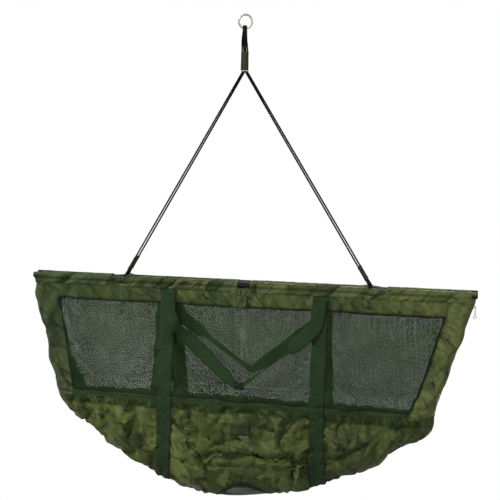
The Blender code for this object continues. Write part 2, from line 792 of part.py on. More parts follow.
def zip_way(sign):
    """Unit vectors down a zip and out of it, and the place of the slider's top."""
    top = Vector((sign * ZIP_TOP_X, 0, POLE_Z - ZIP_TOP_DROP))
    bottom = Vector((sign * ZIP_BOTTOM_X, 0, SEAM_Z))
    way = (bottom - top).normalized()
    out = Vector((-sign * way.z, 0, sign * way.x))
    return top + way * SLIDER_START, way, out


def block(name, place, half_out, half_wide, half_long, out, way, surface=None, joint=None):
    """A box set square to a zip, from its middle and half sizes."""
    across = Vector((0, half_wide, 0))
    corners = [
        place - way * half_long - out * half_out - across,
        place - way * half_long + out * half_out - across,
        place + way * half_long + out * half_out - across,
        place + way * half_long - out * half_out - across,
    ]
    return prism(name, corners, across * 2, surface, joint)


def bail_place(sign):
    """The middle of the bar that a zip's pull hangs on."""
    top, way, out = zip_way(sign)
    over = TAPE_THICKNESS / 2 + SLIDER_FIT + SLIDER_PLATE + BAIL_HEIGHT
    return top + way * SLIDER_LENGTH / 2 + out * over


def make_slider(side, sign, joint):
    """Two plates over the zip tapes, a post between the tapes, and a bail."""
    top, way, out = zip_way(sign)
    middle = top + way * SLIDER_LENGTH / 2
    gap = TAPE_THICKNESS / 2 + SLIDER_FIT
    plate_out = gap + SLIDER_PLATE / 2
    half_plate = (SLIDER_PLATE / 2, SLIDER_WIDTH / 2, SLIDER_LENGTH / 2)
    name = f"zip_slider_{side}"
    body = block(name, middle + out * plate_out, *half_plate, out, way, METAL, joint)
    inner = block(f"{name}_inner", middle - out * plate_out, *half_plate, out, way)
    post_place = top + way * (SLIDER_POST_INSET + SLIDER_POST_LENGTH / 2)
    post_half = gap + SLIDER_PLATE / 2
    post = block(
        f"{name}_post", post_place, post_half, SLIDER_POST / 2, SLIDER_POST_LENGTH / 2, out, way
    )
    bar_place = bail_place(sign)
    half_wire = BAIL_WIRE / 2
    bar = block(f"{name}_bar", bar_place, half_wire, BAIL_WIDTH / 2, half_wire, out, way)
    combine(body, post, "UNION")
    combine(body, inner, "UNION")
    leg_half = (BAIL_HEIGHT + SLIDER_PLATE / 2) / 2
    half_leg = BAIL_LEG / 2
    for end in (-1, 1):
        across = Vector((0, end * (BAIL_WIDTH - BAIL_WIRE) / 2, 0))
        place = bar_place - out * leg_half + across
        leg = block(f"{name}_leg_{end + 1}", place, leg_half, half_leg, half_leg, out, way)
        combine(body, leg, "UNION")
    combine(body, bar, "UNION")


def make_pull(side, sign, joint):
    """The pull: an eye on the bail, a flat shank and a finger ring."""
    bar = bail_place(sign)
    half = Vector((0, PULL_THICKNESS / 2, 0))
    right = Vector((1, 0, 0))
    up = Vector((0, 0, 1))
    eye = PULL_EYE / 2
    eye_bore = BAIL_WIRE / math.sqrt(2) + PULL_EYE_FIT
    ring_centre = bar - up * PULL_LENGTH
    name = f"zip_pull_{side}"

    def washer(label, centre, outer, inner, surface, parent):
        loops = [
            oval(centre - half, right * r, up * r, TURNED_SIDES) for r in (outer, inner)
        ]
        return hollow_prism(label, loops[0], loops[1], half * 2, surface, parent)

    pull = washer(name, bar, eye, eye_bore, METAL, joint)
    ring = washer(
        f"{name}_ring", ring_centre, PULL_RING / 2, PULL_RING_BORE / 2, GUIDE, None
    )
    shank_top = bar - up * (eye + eye_bore) / 2
    shank_foot = ring_centre + up * (PULL_RING + PULL_RING_BORE) / 4
    across = right * PULL_SHANK / 2
    corners = [shank_top - across, shank_top + across, shank_foot + across, shank_foot - across]
    shank = prism(f"{name}_shank", [p - half for p in corners], half * 2)
    combine(pull, shank, "UNION")
    combine(pull, ring, "UNION")


def make_frame(label, face, harness):
    """A pole with the cord legs that hold it, turning on the sleeve's mouth."""
    pivot = Vector((0, face * STRAND_PITCH / 2, SLEEVE_MOUTH_Z))
    axis = Vector((0, face * POLE_Y, POLE_Z))
    frame = joint_empty(f"{label}_frame_joint", pivot, harness)
    loose_half = joint_empty(f"{label}_pole_right_joint", axis, frame)
    for side, sign in SIDES.items():
        make_cord_leg(side, sign, label, face, frame)
        make_whipping(side, sign, label, face, frame)
        make_pole_half(side, sign, label, face, frame if sign < 0 else loose_half)
    make_coupling(label, face, frame)
    return frame


def make_wall(label, face, frame):
    """Everything that turns with one wall on its pole, and its handle."""
    wall = joint_empty(f"{label}_wall_joint", Vector((0, face * POLE_Y, POLE_Z)), frame)
    make_wall_panel(label, face, wall)
    make_windows(label, face, wall)
    for side, sign in SIDES.items():
        make_pocket(side, sign, label, face, wall)
        make_end_panel(side, sign, label, face, wall)
        make_zip_tape(side, sign, label, face, wall)
        make_upper_strap(side, sign, label, face, wall)
    hinge = wall_point(face, 0.0, down_wall(HANDLE_DROP), HANDLE_OUT + STRAP_THICKNESS / 2)
    make_handle(label, face, joint_empty(f"{label}_handle_joint", hinge, wall))
    return wall


def main():
    for old in list(bpy.data.objects):
        bpy.data.objects.remove(old, do_unlink=True)
    make_ring()
    harness = joint_empty("harness_joint", Vector((0, 0, RING_FOOT_Z)))
    make_cord_loops(harness)
    make_sleeve(harness)
    walls = {}
    for label, face in FACES.items():
        frame = make_frame(label, face, harness)
        walls[label] = make_wall(label, face, frame)
    seam = Vector((0, -HALF_GIRTH, SEAM_Z))
    bowl = joint_empty("bowl_joint", seam, walls["front"])
    make_bowl(bowl)
    for side, sign in SIDES.items():
        make_under_strap(side, sign, bowl)
        top = zip_way(sign)[0]
        slider = joint_empty(f"zip_slider_{side}_joint", top, walls["front"])
        make_slider(side, sign, slider)
        pull = joint_empty(f"zip_pull_{side}_joint", bail_place(sign), slider)
        make_pull(side, sign, pull)


STEEL = material("steel", (0.62, 0.62, 0.60), 0.25, 1.0)
CORD_BLACK = material("cord", (0.008, 0.008, 0.008), 0.75)
THREAD = material("thread", (0.020, 0.028, 0.012), 0.8)
WEBBING = material("webbing", (0.020, 0.037, 0.011), 0.8)
NYLON = material("nylon", (0.080, 0.096, 0.036), 0.55)
NET = material("net", (0.022, 0.040, 0.014), 0.7)
POLE_BLACK = material("pole", (0.010, 0.010, 0.011), 0.25)
RUBBER = material("rubber", (0.012, 0.012, 0.012), 0.7)
ZIP_CLOTH = material("zip_tape", (0.016, 0.022, 0.010), 0.8)
METAL = material("zip_metal", (0.55, 0.54, 0.50), 0.35, 1.0)
GUIDE = material("guide", (0.5, 0.5, 0.5), 0.5)

main()
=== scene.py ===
# %% [markdown]
# # A carp weigh sling in Blender
# An angler lays a big fish in this bag, lifts the bag by its poles and hangs it from a scale by the
# steel ring. The CAD model fixes every size. This lesson dresses it: crumpled nylon, see-through
# net, ribbed webbing and braided cord.

# %% Load the fixed frame
import math
import random

import bpy
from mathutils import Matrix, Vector, noise


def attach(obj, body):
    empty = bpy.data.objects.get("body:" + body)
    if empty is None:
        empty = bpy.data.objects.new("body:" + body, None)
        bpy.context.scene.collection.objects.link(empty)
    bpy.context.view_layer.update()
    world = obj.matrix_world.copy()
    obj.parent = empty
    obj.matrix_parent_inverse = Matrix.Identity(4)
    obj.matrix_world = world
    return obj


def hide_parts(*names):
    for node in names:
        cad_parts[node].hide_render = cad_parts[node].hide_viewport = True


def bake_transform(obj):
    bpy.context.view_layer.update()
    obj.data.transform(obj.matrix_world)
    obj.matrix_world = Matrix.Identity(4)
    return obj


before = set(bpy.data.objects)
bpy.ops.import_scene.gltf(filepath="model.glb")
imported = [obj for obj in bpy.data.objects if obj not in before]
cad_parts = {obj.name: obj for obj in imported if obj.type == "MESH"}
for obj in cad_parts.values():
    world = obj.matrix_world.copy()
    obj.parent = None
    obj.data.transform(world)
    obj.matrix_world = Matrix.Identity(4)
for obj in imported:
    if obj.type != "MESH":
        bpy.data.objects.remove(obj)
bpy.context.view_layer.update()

# %% [markdown]
# ## Camera, floor and light
# The sling hangs level. The slope that the photograph shows comes from a camera that stands a little
# to the right and above, so it is placed there. The floor lies far below. It looks white to the
# camera and to reflections, and for lighting it is an ordinary pale floor.

# %% Camera
CAMERA_PLACE = Vector((0.568, -2.384, -0.171))
CAMERA_AIM = Vector((0.0131, 0.0, -0.598))
CAMERA_LENS_MM = 68.03
FLOOR_DROP = 1.75

bpy.ops.object.select_all(action="DESELECT")
look = (CAMERA_AIM - CAMERA_PLACE).to_track_quat("-Z", "Y").to_euler()
bpy.ops.object.camera_add(location=CAMERA_PLACE, rotation=look)
camera = bpy.context.object
camera.name = "photo_camera"
camera.data.lens = CAMERA_LENS_MM
bpy.context.scene.camera = camera
bpy.context.scene.view_settings.view_transform = "Standard"
print("camera", tuple(round(x, 3) for x in camera.location))

# %% [markdown]
# ## Shader maths as Python
# A wrapped socket can be added and multiplied like a number, and each operation leaves a Math node
# behind. One method makes every other node. So a finish reads as a formula.

# %% Wrapped sockets


class Wire:
    """The value that a node's output carries."""

    def __init__(self, finish, socket):
        self.finish = finish
        self.socket = socket

    def maths(self, operation, first, second=None):
        values = {0: first} if second is None else {0: first, 1: second}
        return self.finish.node("ShaderNodeMath", {"operation": operation}, values)

    def __add__(self, other):
        return self.maths("ADD", self, other)

    def __radd__(self, other):
        return self.maths("ADD", other, self)

    def __sub__(self, other):
        return self.maths("SUBTRACT", self, other)

    def __rsub__(self, other):
        return self.maths("SUBTRACT", other, self)

    def __mul__(self, other):
        return self.maths("MULTIPLY", self, other)

    def __rmul__(self, other):
        return self.maths("MULTIPLY", other, self)

    def __truediv__(self, other):
        return self.maths("DIVIDE", self, other)

    def __rtruediv__(self, other):
        return self.maths("DIVIDE", other, self)

    def wave(self):
        """From 0 to 1 and back for each turn of 2 pi."""
        return self.maths("SINE", self) * 0.5 + 0.5


# %% Finishes


class Finish:
    """One material: constants sit on its shader, and what varies is wired in."""

    def __init__(self, name, **constants):
        self.material = bpy.data.materials.new(name)
        self.material.use_nodes = True
        self.tree = self.material.node_tree
        self.shader = self.tree.nodes["Principled BSDF"]
        for word, value in constants.items():
            self.shader.inputs[word.replace("_", " ")].default_value = value

    def plug(self, socket, value):
        if isinstance(value, Wire):
            self.tree.links.new(value.socket, socket)
        else:
            socket.default_value = value

    def node(self, kind, settings=None, values=None, output=0):
        """Any node: its settings first, then its sockets' values or wires."""
        made = self.tree.nodes.new(kind)
        for word, value in (settings or {}).items():
            if word == "stops":
                ramp = made.color_ramp
                while len(ramp.elements) < len(value):
                    ramp.elements.new(1.0)
                for element, (place, colour) in zip(ramp.elements, value):
                    element.position = place
                    element.color = (*colour, 1.0)
            else:
                setattr(made, word, value)
        for key, value in (values or {}).items():
            self.plug(made.inputs[key], value)
        return Wire(self, made.outputs[output])

    def across_and_along(self):
        """The two directions of the piece's UV map, in metres."""
        spot = self.node("ShaderNodeTexCoord", output="UV")
        split = self.node("ShaderNodeSeparateXYZ", values={0: spot})
        return split, Wire(self, split.socket.node.outputs[1])

    def cloud(self, scale, detail=2.0, roughness=0.5, stretch=(1, 1, 1)):
        """Soft noise fixed to the piece."""
        spot = self.node("ShaderNodeTexCoord", output="Object")
        spot = self.node("ShaderNodeMapping", values={"Vector": spot, "Scale": stretch})
        values = {"Vector": spot, "Scale": scale, "Detail": detail, "Roughness": roughness}
        return self.node("ShaderNodeTexNoise", values=values)

    def tint(self, share, stops):
        """A colour from a ramp."""
        return self.node("ShaderNodeValToRGB", {"stops": stops}, {"Fac": share})

    def blend(self, share, first, second):
        """One colour turning into another."""
        ready = [c if isinstance(c, Wire) else (*c, 1.0) for c in (first, second)]
        values = {0: share, 6: ready[0], 7: ready[1]}
        return self.node("ShaderNodeMix", {"data_type": "RGBA"}, values, output=2)

    def wear(self, word, value):
        """Wires a varying value to the shader."""
        self.plug(self.shader.inputs[word], value)

    def relief(self, height, depth, strength=1.0):
        """Raises the surface by height, where 1 stands for the depth in metres."""
        values = {"Height": height, "Distance": depth, "Strength": strength}
        self.wear("Normal", self.node("ShaderNodeBump", values=values))


def dress(piece, finish):
    """Gives a piece its one finish."""
    piece.data.materials.clear()
    piece.data.materials.append(finish.material)


# %% [markdown]
# ## Floor and backdrop
# Light Path tells a camera ray from a light ray. Camera, mirror and glass rays meet plain white.
# The rest meet a matt floor, which keeps the sling's shadow.

# %% White floor and sky
SKY_LIGHT = 0.22


def seen_directly(finish):
    """1 for camera, mirror and glass rays."""
    path = finish.node("ShaderNodeLightPath", output="Is Camera Ray")
    outputs = path.socket.node.outputs
    mirror = Wire(finish, outputs["Is Glossy Ray"])
    through = Wire(finish, outputs["Is Transmission Ray"])
    return path.maths("MAXIMUM", path.maths("MAXIMUM", path, mirror), through)


bpy.ops.object.select_all(action="DESELECT")
bpy.ops.mesh.primitive_plane_add(size=14, location=(0, 2.0, -FLOOR_DROP))
floor = bpy.context.object
floor.name = "pale_floor"
bpy.ops.object.transform_apply(location=True, rotation=True, scale=True)
floor_finish = Finish("pale_floor", Roughness=0.9)
floor_finish.shader.inputs["Base Color"].default_value = (0.8, 0.8, 0.8, 1)
white = floor_finish.node("ShaderNodeEmission", values={"Strength": 1.0})
shader_out = Wire(floor_finish, floor_finish.shader.outputs[0])
mixed = floor_finish.node(
    "ShaderNodeMixShader", values={0: seen_directly(floor_finish), 1: shader_out, 2: white}
)
surface = floor_finish.tree.nodes["Material Output"].inputs["Surface"]
floor_finish.plug(surface, mixed)
dress(floor, floor_finish)

world = bpy.data.worlds.new("studio")
bpy.context.scene.world = world
world.use_nodes = True
sky = Finish.__new__(Finish)
sky.tree = world.node_tree
background = sky.tree.nodes["Background"]
background.inputs["Color"].default_value = (1, 1, 1, 1)
glow = seen_directly(sky) * (1 - SKY_LIGHT) + SKY_LIGHT
sky.plug(background.inputs["Strength"], glow)
print(f"floor {FLOOR_DROP} m below the ring, sky light {SKY_LIGHT}")

# %% Soft lamps


def soft_lamp(name, place, aim, size, power):
    """A square area lamp that looks at a point."""
    turn = (Vector(aim) - Vector(place)).to_track_quat("-Z", "Y").to_euler()
    bpy.ops.object.light_add(type="AREA", location=place, rotation=turn)
    lamp = bpy.context.object
    lamp.name = name
    lamp.data.size = size
    lamp.data.energy = power
    return lamp


soft_lamp("key_lamp", (-2.0, -1.9, 1.3), (0, 0, -0.9), 0.6, 165)
soft_lamp("side_lamp", (2.0, -1.6, 0.5), (0.3, 0, -0.8), 0.8, 22)
soft_lamp("back_lamp", (0.2, 2.2, 0.6), (0, 0, -0.9), 1.6, 50)

# %% [markdown]
# ## Sizes that the pieces share
# These are the CAD model's own sizes. Each piece takes its place from them, so that cloth, straps
# and seams meet where the solids meet.

# %% Driving sizes
CORD = 0.0044
STRAND_PITCH = 0.0050
RING_RADIUS = 0.0155
RING_WIRE = 0.0050
RING_CENTRE = Vector((0, 0, RING_WIRE / 2 - RING_RADIUS))
SLEEVE_TOP = -0.088
SLEEVE_MOUTH = -0.134
POLE_Z = -0.689
POLE_Y = 0.0125
POLE = 0.012
EYE_X = 0.337
EYE_MERGE = 0.026
WHIPPING_TOP = 0.070
SEAM_DROP = 0.311
SEAM_Z = POLE_Z - SEAM_DROP
HALF_GIRTH = 0.075
LEAN = math.atan2(HALF_GIRTH - POLE_Y, SEAM_DROP)
WINDOW_TOP = 0.058
WINDOW_BOTTOM = 0.298
STRAP_X = 0.206
STRAP_WIDTH = 0.039
ZIP_TOP_DROP = 0.016
ZIP_TOP_X = 0.594
ZIP_BOTTOM_X = 0.503
TAPE_EDGE = 0.0124
BOWL_DEPTH = 0.280
KEEL_END_SHARE = 0.135
FULLNESS = 0.74
SHEET_THICK = 0.0006
SIDES = {"left": -1, "right": 1}
FACES = {"front": -1, "back": 1}
# Each end of each wall: its face's name and sign, and its side's name and sign.
QUARTERS = [(*face, *side) for face in FACES.items() for side in SIDES.items()]


def mix(start, end, share):
    """From start at share 0 to end at share 1."""
    return start + (end - start) * share


def ramp(value, start, end):
    """Rises smoothly from 0 at start to 1 at end."""
    share = min(max((value - start) / (end - start), 0.0), 1.0)
    return share * share * (3 - 2 * share)


def bump(value, middle, reach):
    """1 at the middle, 0 from the reach on."""
    return 1 - ramp(abs(value - middle), 0.0, reach)


def curve_shares(t):
    """What a start, its slope, an end and its slope each add to a smooth curve at t."""
    return 2 * t**3 - 3 * t**2 + 1, t**3 - 2 * t**2 + t, 3 * t**2 - 2 * t**3, t**3 - t**2


print(f"the walls lean out by {math.degrees(LEAN):.1f} degrees")

# %% [markdown]
# ## The shape of the walls
# Both walls lean out from the poles to a seam, and turn a full round corner towards the zips. Real
# nylon doesn't hang even, so the walls get folds: long soft ones in the net, tight puckers in the
# band under the pole, and a bulge at the left end, where the photograph shows more slack.

# %% Ends of a wall's cloth
CORNER_START = 0.014
CORNER_FULLNESS = 0.80
LEFT_SLACK = 0.027
LEFT_TOP_SLACK = 0.014
CLOTH_TOP = 0.0098
HEM_BOTTOM = 0.3105


def zip_x(drop):
    """How far out a zip runs at a height below the poles."""
    return mix(ZIP_TOP_X, ZIP_BOTTOM_X, (drop - ZIP_TOP_DROP) / (SEAM_DROP - ZIP_TOP_DROP))


def corner_x(drop):
    """Where the flat part of a wall ends."""
    return mix(0.562, 0.456, drop / SEAM_DROP) - CORNER_START


def sway(x, drop):
    """How much further left the slack left end hangs; it dies out below the seam."""
    if x > 0:
        return 0.0
    low = LEFT_SLACK * min(drop / SEAM_DROP, 1.0) * ramp(-x, 0.25, 0.44)
    low *= 1 - ramp(drop, SEAM_DROP, SEAM_DROP + 0.06)
    top = LEFT_TOP_SLACK * ramp(-x, 0.53, 0.59) * ramp(drop, 0.02, 0.06) * (1 - drop)
    return -low - top


def corner_length(drop):
    """Length of cloth from the flat part to the zip."""
    wide = zip_x(drop) - corner_x(drop)
    deep = max(POLE_Y + drop * math.tan(LEAN) - TAPE_EDGE, 0.0004)
    return 0.82 * (wide + deep)


def end_reach(drop):
    """Length of cloth from the middle of a wall to its zip."""
    return corner_x(drop) + corner_length(drop)


print(f"middle to zip: {end_reach(CLOTH_TOP):.3f} m above, {end_reach(HEM_BOTTOM):.3f} m below")

# %% Wall surface


def on_wall(face, s, drop, out=0.0):
    """A point of a wall, s metres along its cloth from the middle, before any fold."""
    side = -1 if s < 0 else 1
    reach = abs(s)
    corner = corner_x(drop)
    depth = POLE_Y + drop * math.tan(LEAN)
    x = reach
    nx, ny = 0.0, 1.0
    if reach > corner:
        wide = zip_x(drop) - corner
        deep = max(depth - TAPE_EDGE, 0.0004)
        turn = min((reach - corner) / corner_length(drop), 1.0) * math.pi / 2
        x = corner + wide * math.sin(turn) ** CORNER_FULLNESS
        depth = TAPE_EDGE + deep * max(math.cos(turn), 0.0) ** CORNER_FULLNESS
        nx, ny = math.sin(turn) * deep, math.cos(turn) * wide
        length = math.hypot(nx, ny)
        nx, ny = nx / length, ny / length
    x = side * (x + out * nx) + sway(side * x, drop)
    y = depth + out * ny * math.cos(LEAN)
    return Vector((x, face * y, POLE_Z - drop + out * ny * math.sin(LEAN)))


print(f"the back seam lies {on_wall(1, 0.0, SEAM_DROP).y * 1000:.0f} mm behind the middle")

# %% Folds of a wall


def rough(x, y, z=0.0):
    """Smooth noise from -1 to 1."""
    return noise.noise(Vector((x, y, z)))


def crest(value):
    """A row of sharp crests, 1 at each crest and 0 between them."""
    return (1 - abs(math.sin(value))) ** 1.6


def wall_fold(face, s, drop):
    """The big folds of a wall, before the cloth settles."""
    seed = 3.7 * face
    loose = ramp(drop, 0.05, 0.12) * (1 - ramp(drop, 0.27, 0.305))
    bend = 0.05 * rough(s * 4, drop * 4, seed)
    drape = 0.006 * rough(s * 5 + drop * 6 + seed, drop * 3, seed)
    drape += 0.0024 * math.sin((abs(s) * 0.5 + drop + bend) * 62 + seed)
    crease = -0.011 * bump(s, -0.012 + 0.06 * (drop - 0.15), 0.009) * bump(drop, 0.14, 0.11)
    line = abs(s) * 0.9 + drop * 0.62 + 0.012 * rough(s * 14, drop * 20, seed)
    band = bump(drop, 0.036, 0.026) * (0.35 + 1.2 * abs(rough(s * 11, 1.0, seed)))
    pucker = 0.0085 * band * crest(line * 84 + 3.0 * rough(s * 7, 2.0, seed))
    end = ramp(abs(s), corner_x(drop) - 0.02, end_reach(drop) - 0.02)
    slack = 0.004 * end * rough(s * 22, drop * 16, seed) * ramp(drop, 0.03, 0.08)
    rest = 1 - 0.7 * bump(abs(s), STRAP_X, 0.03)
    return rest * (loose * drape + crease + pucker) + slack


print(f"a fold in the middle of the front: {wall_fold(-1, 0.0, 0.14) * 1000:.1f} mm")

# %% [markdown]
# ## The shape of the closed lower part
# Under the seam the bag is one skin that runs from the front over a curved keel to the back. Its
# cross-section is a superellipse and its keel a parabola. Crumples are tents: a straight crest that
# falls off to both sides. Dozens of small ones in mixed directions look like handled nylon, and a few
# long ones, listed one by one, are the folds that the photograph shows.

# %% Bowl surface


def keel_drop(x):
    """Depth of the keel under the seam, a little deeper on the slack left."""
    share = min(abs(x) / ZIP_BOTTOM_X, 1.0)
    even = BOWL_DEPTH * (1 - (1 - KEEL_END_SHARE) * share**2)
    return even - 0.014 * math.tanh(x / 0.10) * (1 - share**6)


def bowl_half(x):
    """Half the bowl's width at the seam."""
    corner = corner_x(SEAM_DROP)
    wide = ZIP_BOTTOM_X - corner
    share = min(max((abs(x) - corner) / wide, 0.0), 1.0)
    return HALF_GIRTH * max(1 - share ** (2 / CORNER_FULLNESS), 0.0) ** (CORNER_FULLNESS / 2)


def bowl_point(x, turn, out=0.0):
    """A point of the bowl: turn 0 is the front seam, pi / 2 the keel and pi the back seam."""
    half = max(bowl_half(x), 0.0006)
    deep = keel_drop(x)
    c, s = math.cos(turn), math.sin(turn)
    wide = math.copysign(abs(c) ** FULLNESS, c)
    ny = -math.copysign(abs(c) ** (2 - FULLNESS), c) / half
    nz = -s / deep
    length = math.hypot(ny, nz)
    fade = ramp(turn, 0.0, 0.3) * (1 - ramp(turn, math.pi - 0.3, math.pi))
    spot = Vector((x + sway(x, SEAM_DROP + deep * s), -half * wide, SEAM_Z - deep * s))
    lean = mix(math.sin(LEAN), nz / length, fade)
    across = mix(-math.copysign(math.cos(LEAN), c), ny / length, fade)
    return spot + Vector((0, across, lean)) * out


print(f"keel in the middle: {keel_drop(0.0) * 1000:.0f} mm below the seam")

# %% Tents


class Tent:
    """A straight fold with a sharp crest, at a place on the flat cloth."""

    def __init__(self, place, angle, length, width, height):
        self.place = place
        self.way = (math.cos(angle), math.sin(angle))
        self.length = length
        self.width = width
        self.height = height

    def at(self, a, b):
        da = a - self.place[0]
        db = b - self.place[1]
        along = (da * self.way[0] + db * self.way[1]) / self.length
        if abs(along) >= 1:
            return 0.0
        aside = abs(db * self.way[0] - da * self.way[1]) / self.width
        if aside >= 1:
            return 0.0
        return self.height * (1 - aside) ** 2 * (1 - along * along)


def crumples(seed, count, low, high, lengths, height):
    """Small tents scattered over a part of the flat cloth."""
    chance = random.Random(seed)
    made = []
    for _ in range(count):
        place = (chance.uniform(low[0], high[0]), chance.uniform(low[1], high[1]))
        length = chance.uniform(*lengths)
        tall = height * chance.choice((-1, 1)) * chance.uniform(0.4, 1.0)
        angle = chance.gauss(0.0, 0.9)
        made.append(Tent(place, angle, length, length * chance.uniform(0.3, 0.5), tall))
    return made


# %% Folds of the lower part
# Places are metres right of the middle and metres down the cloth from the seam.
LONG_FOLDS = [
    Tent((-0.385, 0.060), 1.05, 0.12, 0.018, -0.018),
    Tent((-0.350, 0.075), 1.10, 0.11, 0.020, 0.012),
    Tent((0.285, 0.120), 2.45, 0.14, 0.025, -0.020),
    Tent((0.330, 0.095), 2.40, 0.13, 0.022, 0.013),
    Tent((-0.060, 0.030), 2.20, 0.07, 0.016, 0.006),
    Tent((0.055, 0.032), 0.95, 0.07, 0.016, 0.006),
    Tent((-0.130, 0.055), 1.30, 0.07, 0.022, -0.006),
    Tent((0.130, 0.055), 1.85, 0.07, 0.022, -0.006),
    Tent((-0.100, 0.128), 0.12, 0.12, 0.018, 0.009),
    Tent((0.090, 0.118), -0.15, 0.13, 0.018, 0.009),
    Tent((-0.020, 0.150), 0.05, 0.15, 0.018, -0.008),
    Tent((0.000, 0.175), -0.08, 0.12, 0.020, 0.007),
    Tent((0.180, 0.200), 2.75, 0.12, 0.022, 0.008),
]
BELT = crumples(5, 110, (-0.19, 0.015), (0.20, 0.19), (0.018, 0.05), 0.0085)
SPREAD = crumples(8, 90, (-0.45, 0.01), (0.45, 0.24), (0.03, 0.08), 0.0050)
BACK_SPREAD = crumples(21, 130, (-0.45, 0.01), (0.45, 0.24), (0.03, 0.08), 0.0055)
KEEL_LENGTH_SHARE = 0.31
print("folds by hand:", len(LONG_FOLDS), "small ones:", len(BELT) + len(SPREAD))


def bowl_fold(x, turn):
    """How far the cloth stands out of the plain bowl."""
    down = KEEL_LENGTH_SHARE * math.sin(min(turn, math.pi - turn)) * keel_drop(x) / BOWL_DEPTH
    front = turn < math.pi / 2
    tents = LONG_FOLDS + BELT + SPREAD if front else BACK_SPREAD
    bend = 0.012 * rough(x * 14, down * 14, 1.0)
    lift = sum(t.at(x + bend, down - bend) for t in tents)
    lift += 0.003 * rough(x * 9, down * 9, 7.0)
    held = ramp(down, 0.0, 0.025)
    strap = 1 - 0.75 * bump(abs(x), STRAP_X, 0.03)
    ends = 1 - ramp(abs(x), 0.46, 0.50)
    return lift * held * strap * ends * (1 - 0.8 * drain_share(x, turn))


# %% Places of the drains
# Middle, half length and half width of a drain's oval, in metres on the ground plan.
KEEL_DRAIN = (0.0, 0.082, 0.049)
CORNER_DRAINS = {side: (sign * 0.414, 0.024, 0.040) for side, sign in SIDES.items()}


def drain_distance(drain, x, y):
    """1 on a drain's rim and less inside."""
    middle, half_long, half_wide = drain
    return math.hypot((x - middle) / half_long, y / half_wide)


def from_drains(x, turn):
    """The distance to the nearest drain, 1 on its rim."""
    if abs(turn - math.pi / 2) > 1.2:
        return 9.0
    y = bowl_point(x, turn).y
    return min(drain_distance(d, x, y) for d in (KEEL_DRAIN, *CORNER_DRAINS.values()))


def drain_share(x, turn):
    """1 on a drain, 0 a little outside it."""
    return 1 - ramp(from_drains(x, turn), 1.0, 1.6)


print(f"a fold low on the front: {bowl_fold(-0.05, 0.9) * 1000:.1f} mm")

# %% [markdown]
# ## Sheets from a grid
# Every cloth piece starts as Blender's grid primitive, whose points are then laid on a surface by a
# function. Its UV map is rewritten in metres, so a weave keeps its real size everywhere.

# %% Piece helpers


def active_only(piece):
    bpy.ops.object.select_all(action="DESELECT")
    piece.select_set(True)
    bpy.context.view_layer.objects.active = piece


def open_for_edit(piece):
    """Opens a piece in edit mode with everything selected."""
    active_only(piece)
    bpy.ops.object.mode_set(mode="EDIT")
    bpy.ops.mesh.select_all(action="SELECT")


# %% Meshes


def fresh_mesh(name, verts, faces, uvs=None, edges=()):
    """A mesh piece from points and faces, with its UV map in metres."""
    data = bpy.data.meshes.new(name)
    data.from_pydata([tuple(v) for v in verts], edges, faces)
    if uvs:
        layer = data.uv_layers.new(name="UVMap")
        flat = [x for loop in data.loops for x in uvs[loop.vertex_index]]
        layer.data.foreach_set("uv", flat)
    piece = bpy.data.objects.new(name, data)
    bpy.context.scene.collection.objects.link(piece)
    return piece


def lay_cloth(name, columns, rows, lay, keep=None, flip=False):
    """A grid primitive; lay(a, b) gives each point its place and its UV in metres."""
    bpy.ops.object.select_all(action="DESELECT")
    bpy.ops.mesh.primitive_grid_add(x_subdivisions=columns, y_subdivisions=rows, size=1)
    piece = bpy.context.object
    piece.name = name
    data = piece.data
    data.name = name
    shares = [(v.co.x + 0.5, v.co.y + 0.5) for v in data.vertices]
    laid = [lay(a, b) for a, b in shares]
    flat = [x for loop in data.loops for x in laid[loop.vertex_index][1]]
    data.uv_layers.active.data.foreach_set("uv", flat)
    data.vertices.foreach_set("co", [x for place, _ in laid for x in place])
    if keep:
        bpy.ops.object.mode_set(mode="EDIT")
        bpy.ops.mesh.select_all(action="DESELECT")
        bpy.ops.object.mode_set(mode="OBJECT")
        for face in data.polygons:
            middle = [sum(shares[v][k] for v in face.vertices) / 4 for k in (0, 1)]
            face.select = not keep(*middle)
        bpy.ops.object.mode_set(mode="EDIT")
        bpy.ops.mesh.select_mode(type="FACE")
        bpy.ops.mesh.delete(type="FACE")
        bpy.ops.object.mode_set(mode="OBJECT")
    if flip:
        data.flip_normals()
    data.shade_smooth()
    return piece


# %% Dressing and sizing the pieces


def put_on(piece, finish, slot, body, *nodes, thick=0.0):
    """Thickens a sheet and says its finish, its body and the CAD nodes it stands for. The slot is not
    used.

    Where a body is given as two bodies with a start and an end, the piece is only baked in place; it
    doesn't bend.
    """
    if thick:
        active_only(piece)
        solid = piece.modifiers.new("thickness", "SOLIDIFY")
        solid.thickness = thick
        solid.offset = 0.0
        bpy.ops.object.modifier_apply(modifier="thickness")
    dress(piece, finish)
    if isinstance(body, str):
        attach(piece, body)
    else:
        upper, lower, start, end = body
        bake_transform(piece)
        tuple(start)
        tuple(end)
    if nodes:
        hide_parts(*nodes)


def flat_area(piece, layers):
    """Area of the flat cut, from the UV map in metres; a thickened sheet has two layers."""
    spots = piece.data.uv_layers.active.data
    total = 0.0
    for face in piece.data.polygons:
        ring = [spots[k].uv for k in face.loop_indices]
        total += abs(sum(a.cross(b) for a, b in zip(ring, ring[1:] + ring[:1]))) / 2
    return total / layers


# The least area that a sheet is said to have, as a share of its flat size.
LEAST_SHARE = 0.3001


def declare_sheet(piece, flat, held, layers=2):
    """Says how large the sheet was cut, and what holds it."""
    box = flat[0] * flat[1]
    area = max(min(flat_area(piece, layers), box), LEAST_SHARE * box)
    wide, long = (round(x * 1000) for x in flat)
    print(f"{piece.name}: cut {wide} x {long} mm, {area:.4f} m2, {held}")


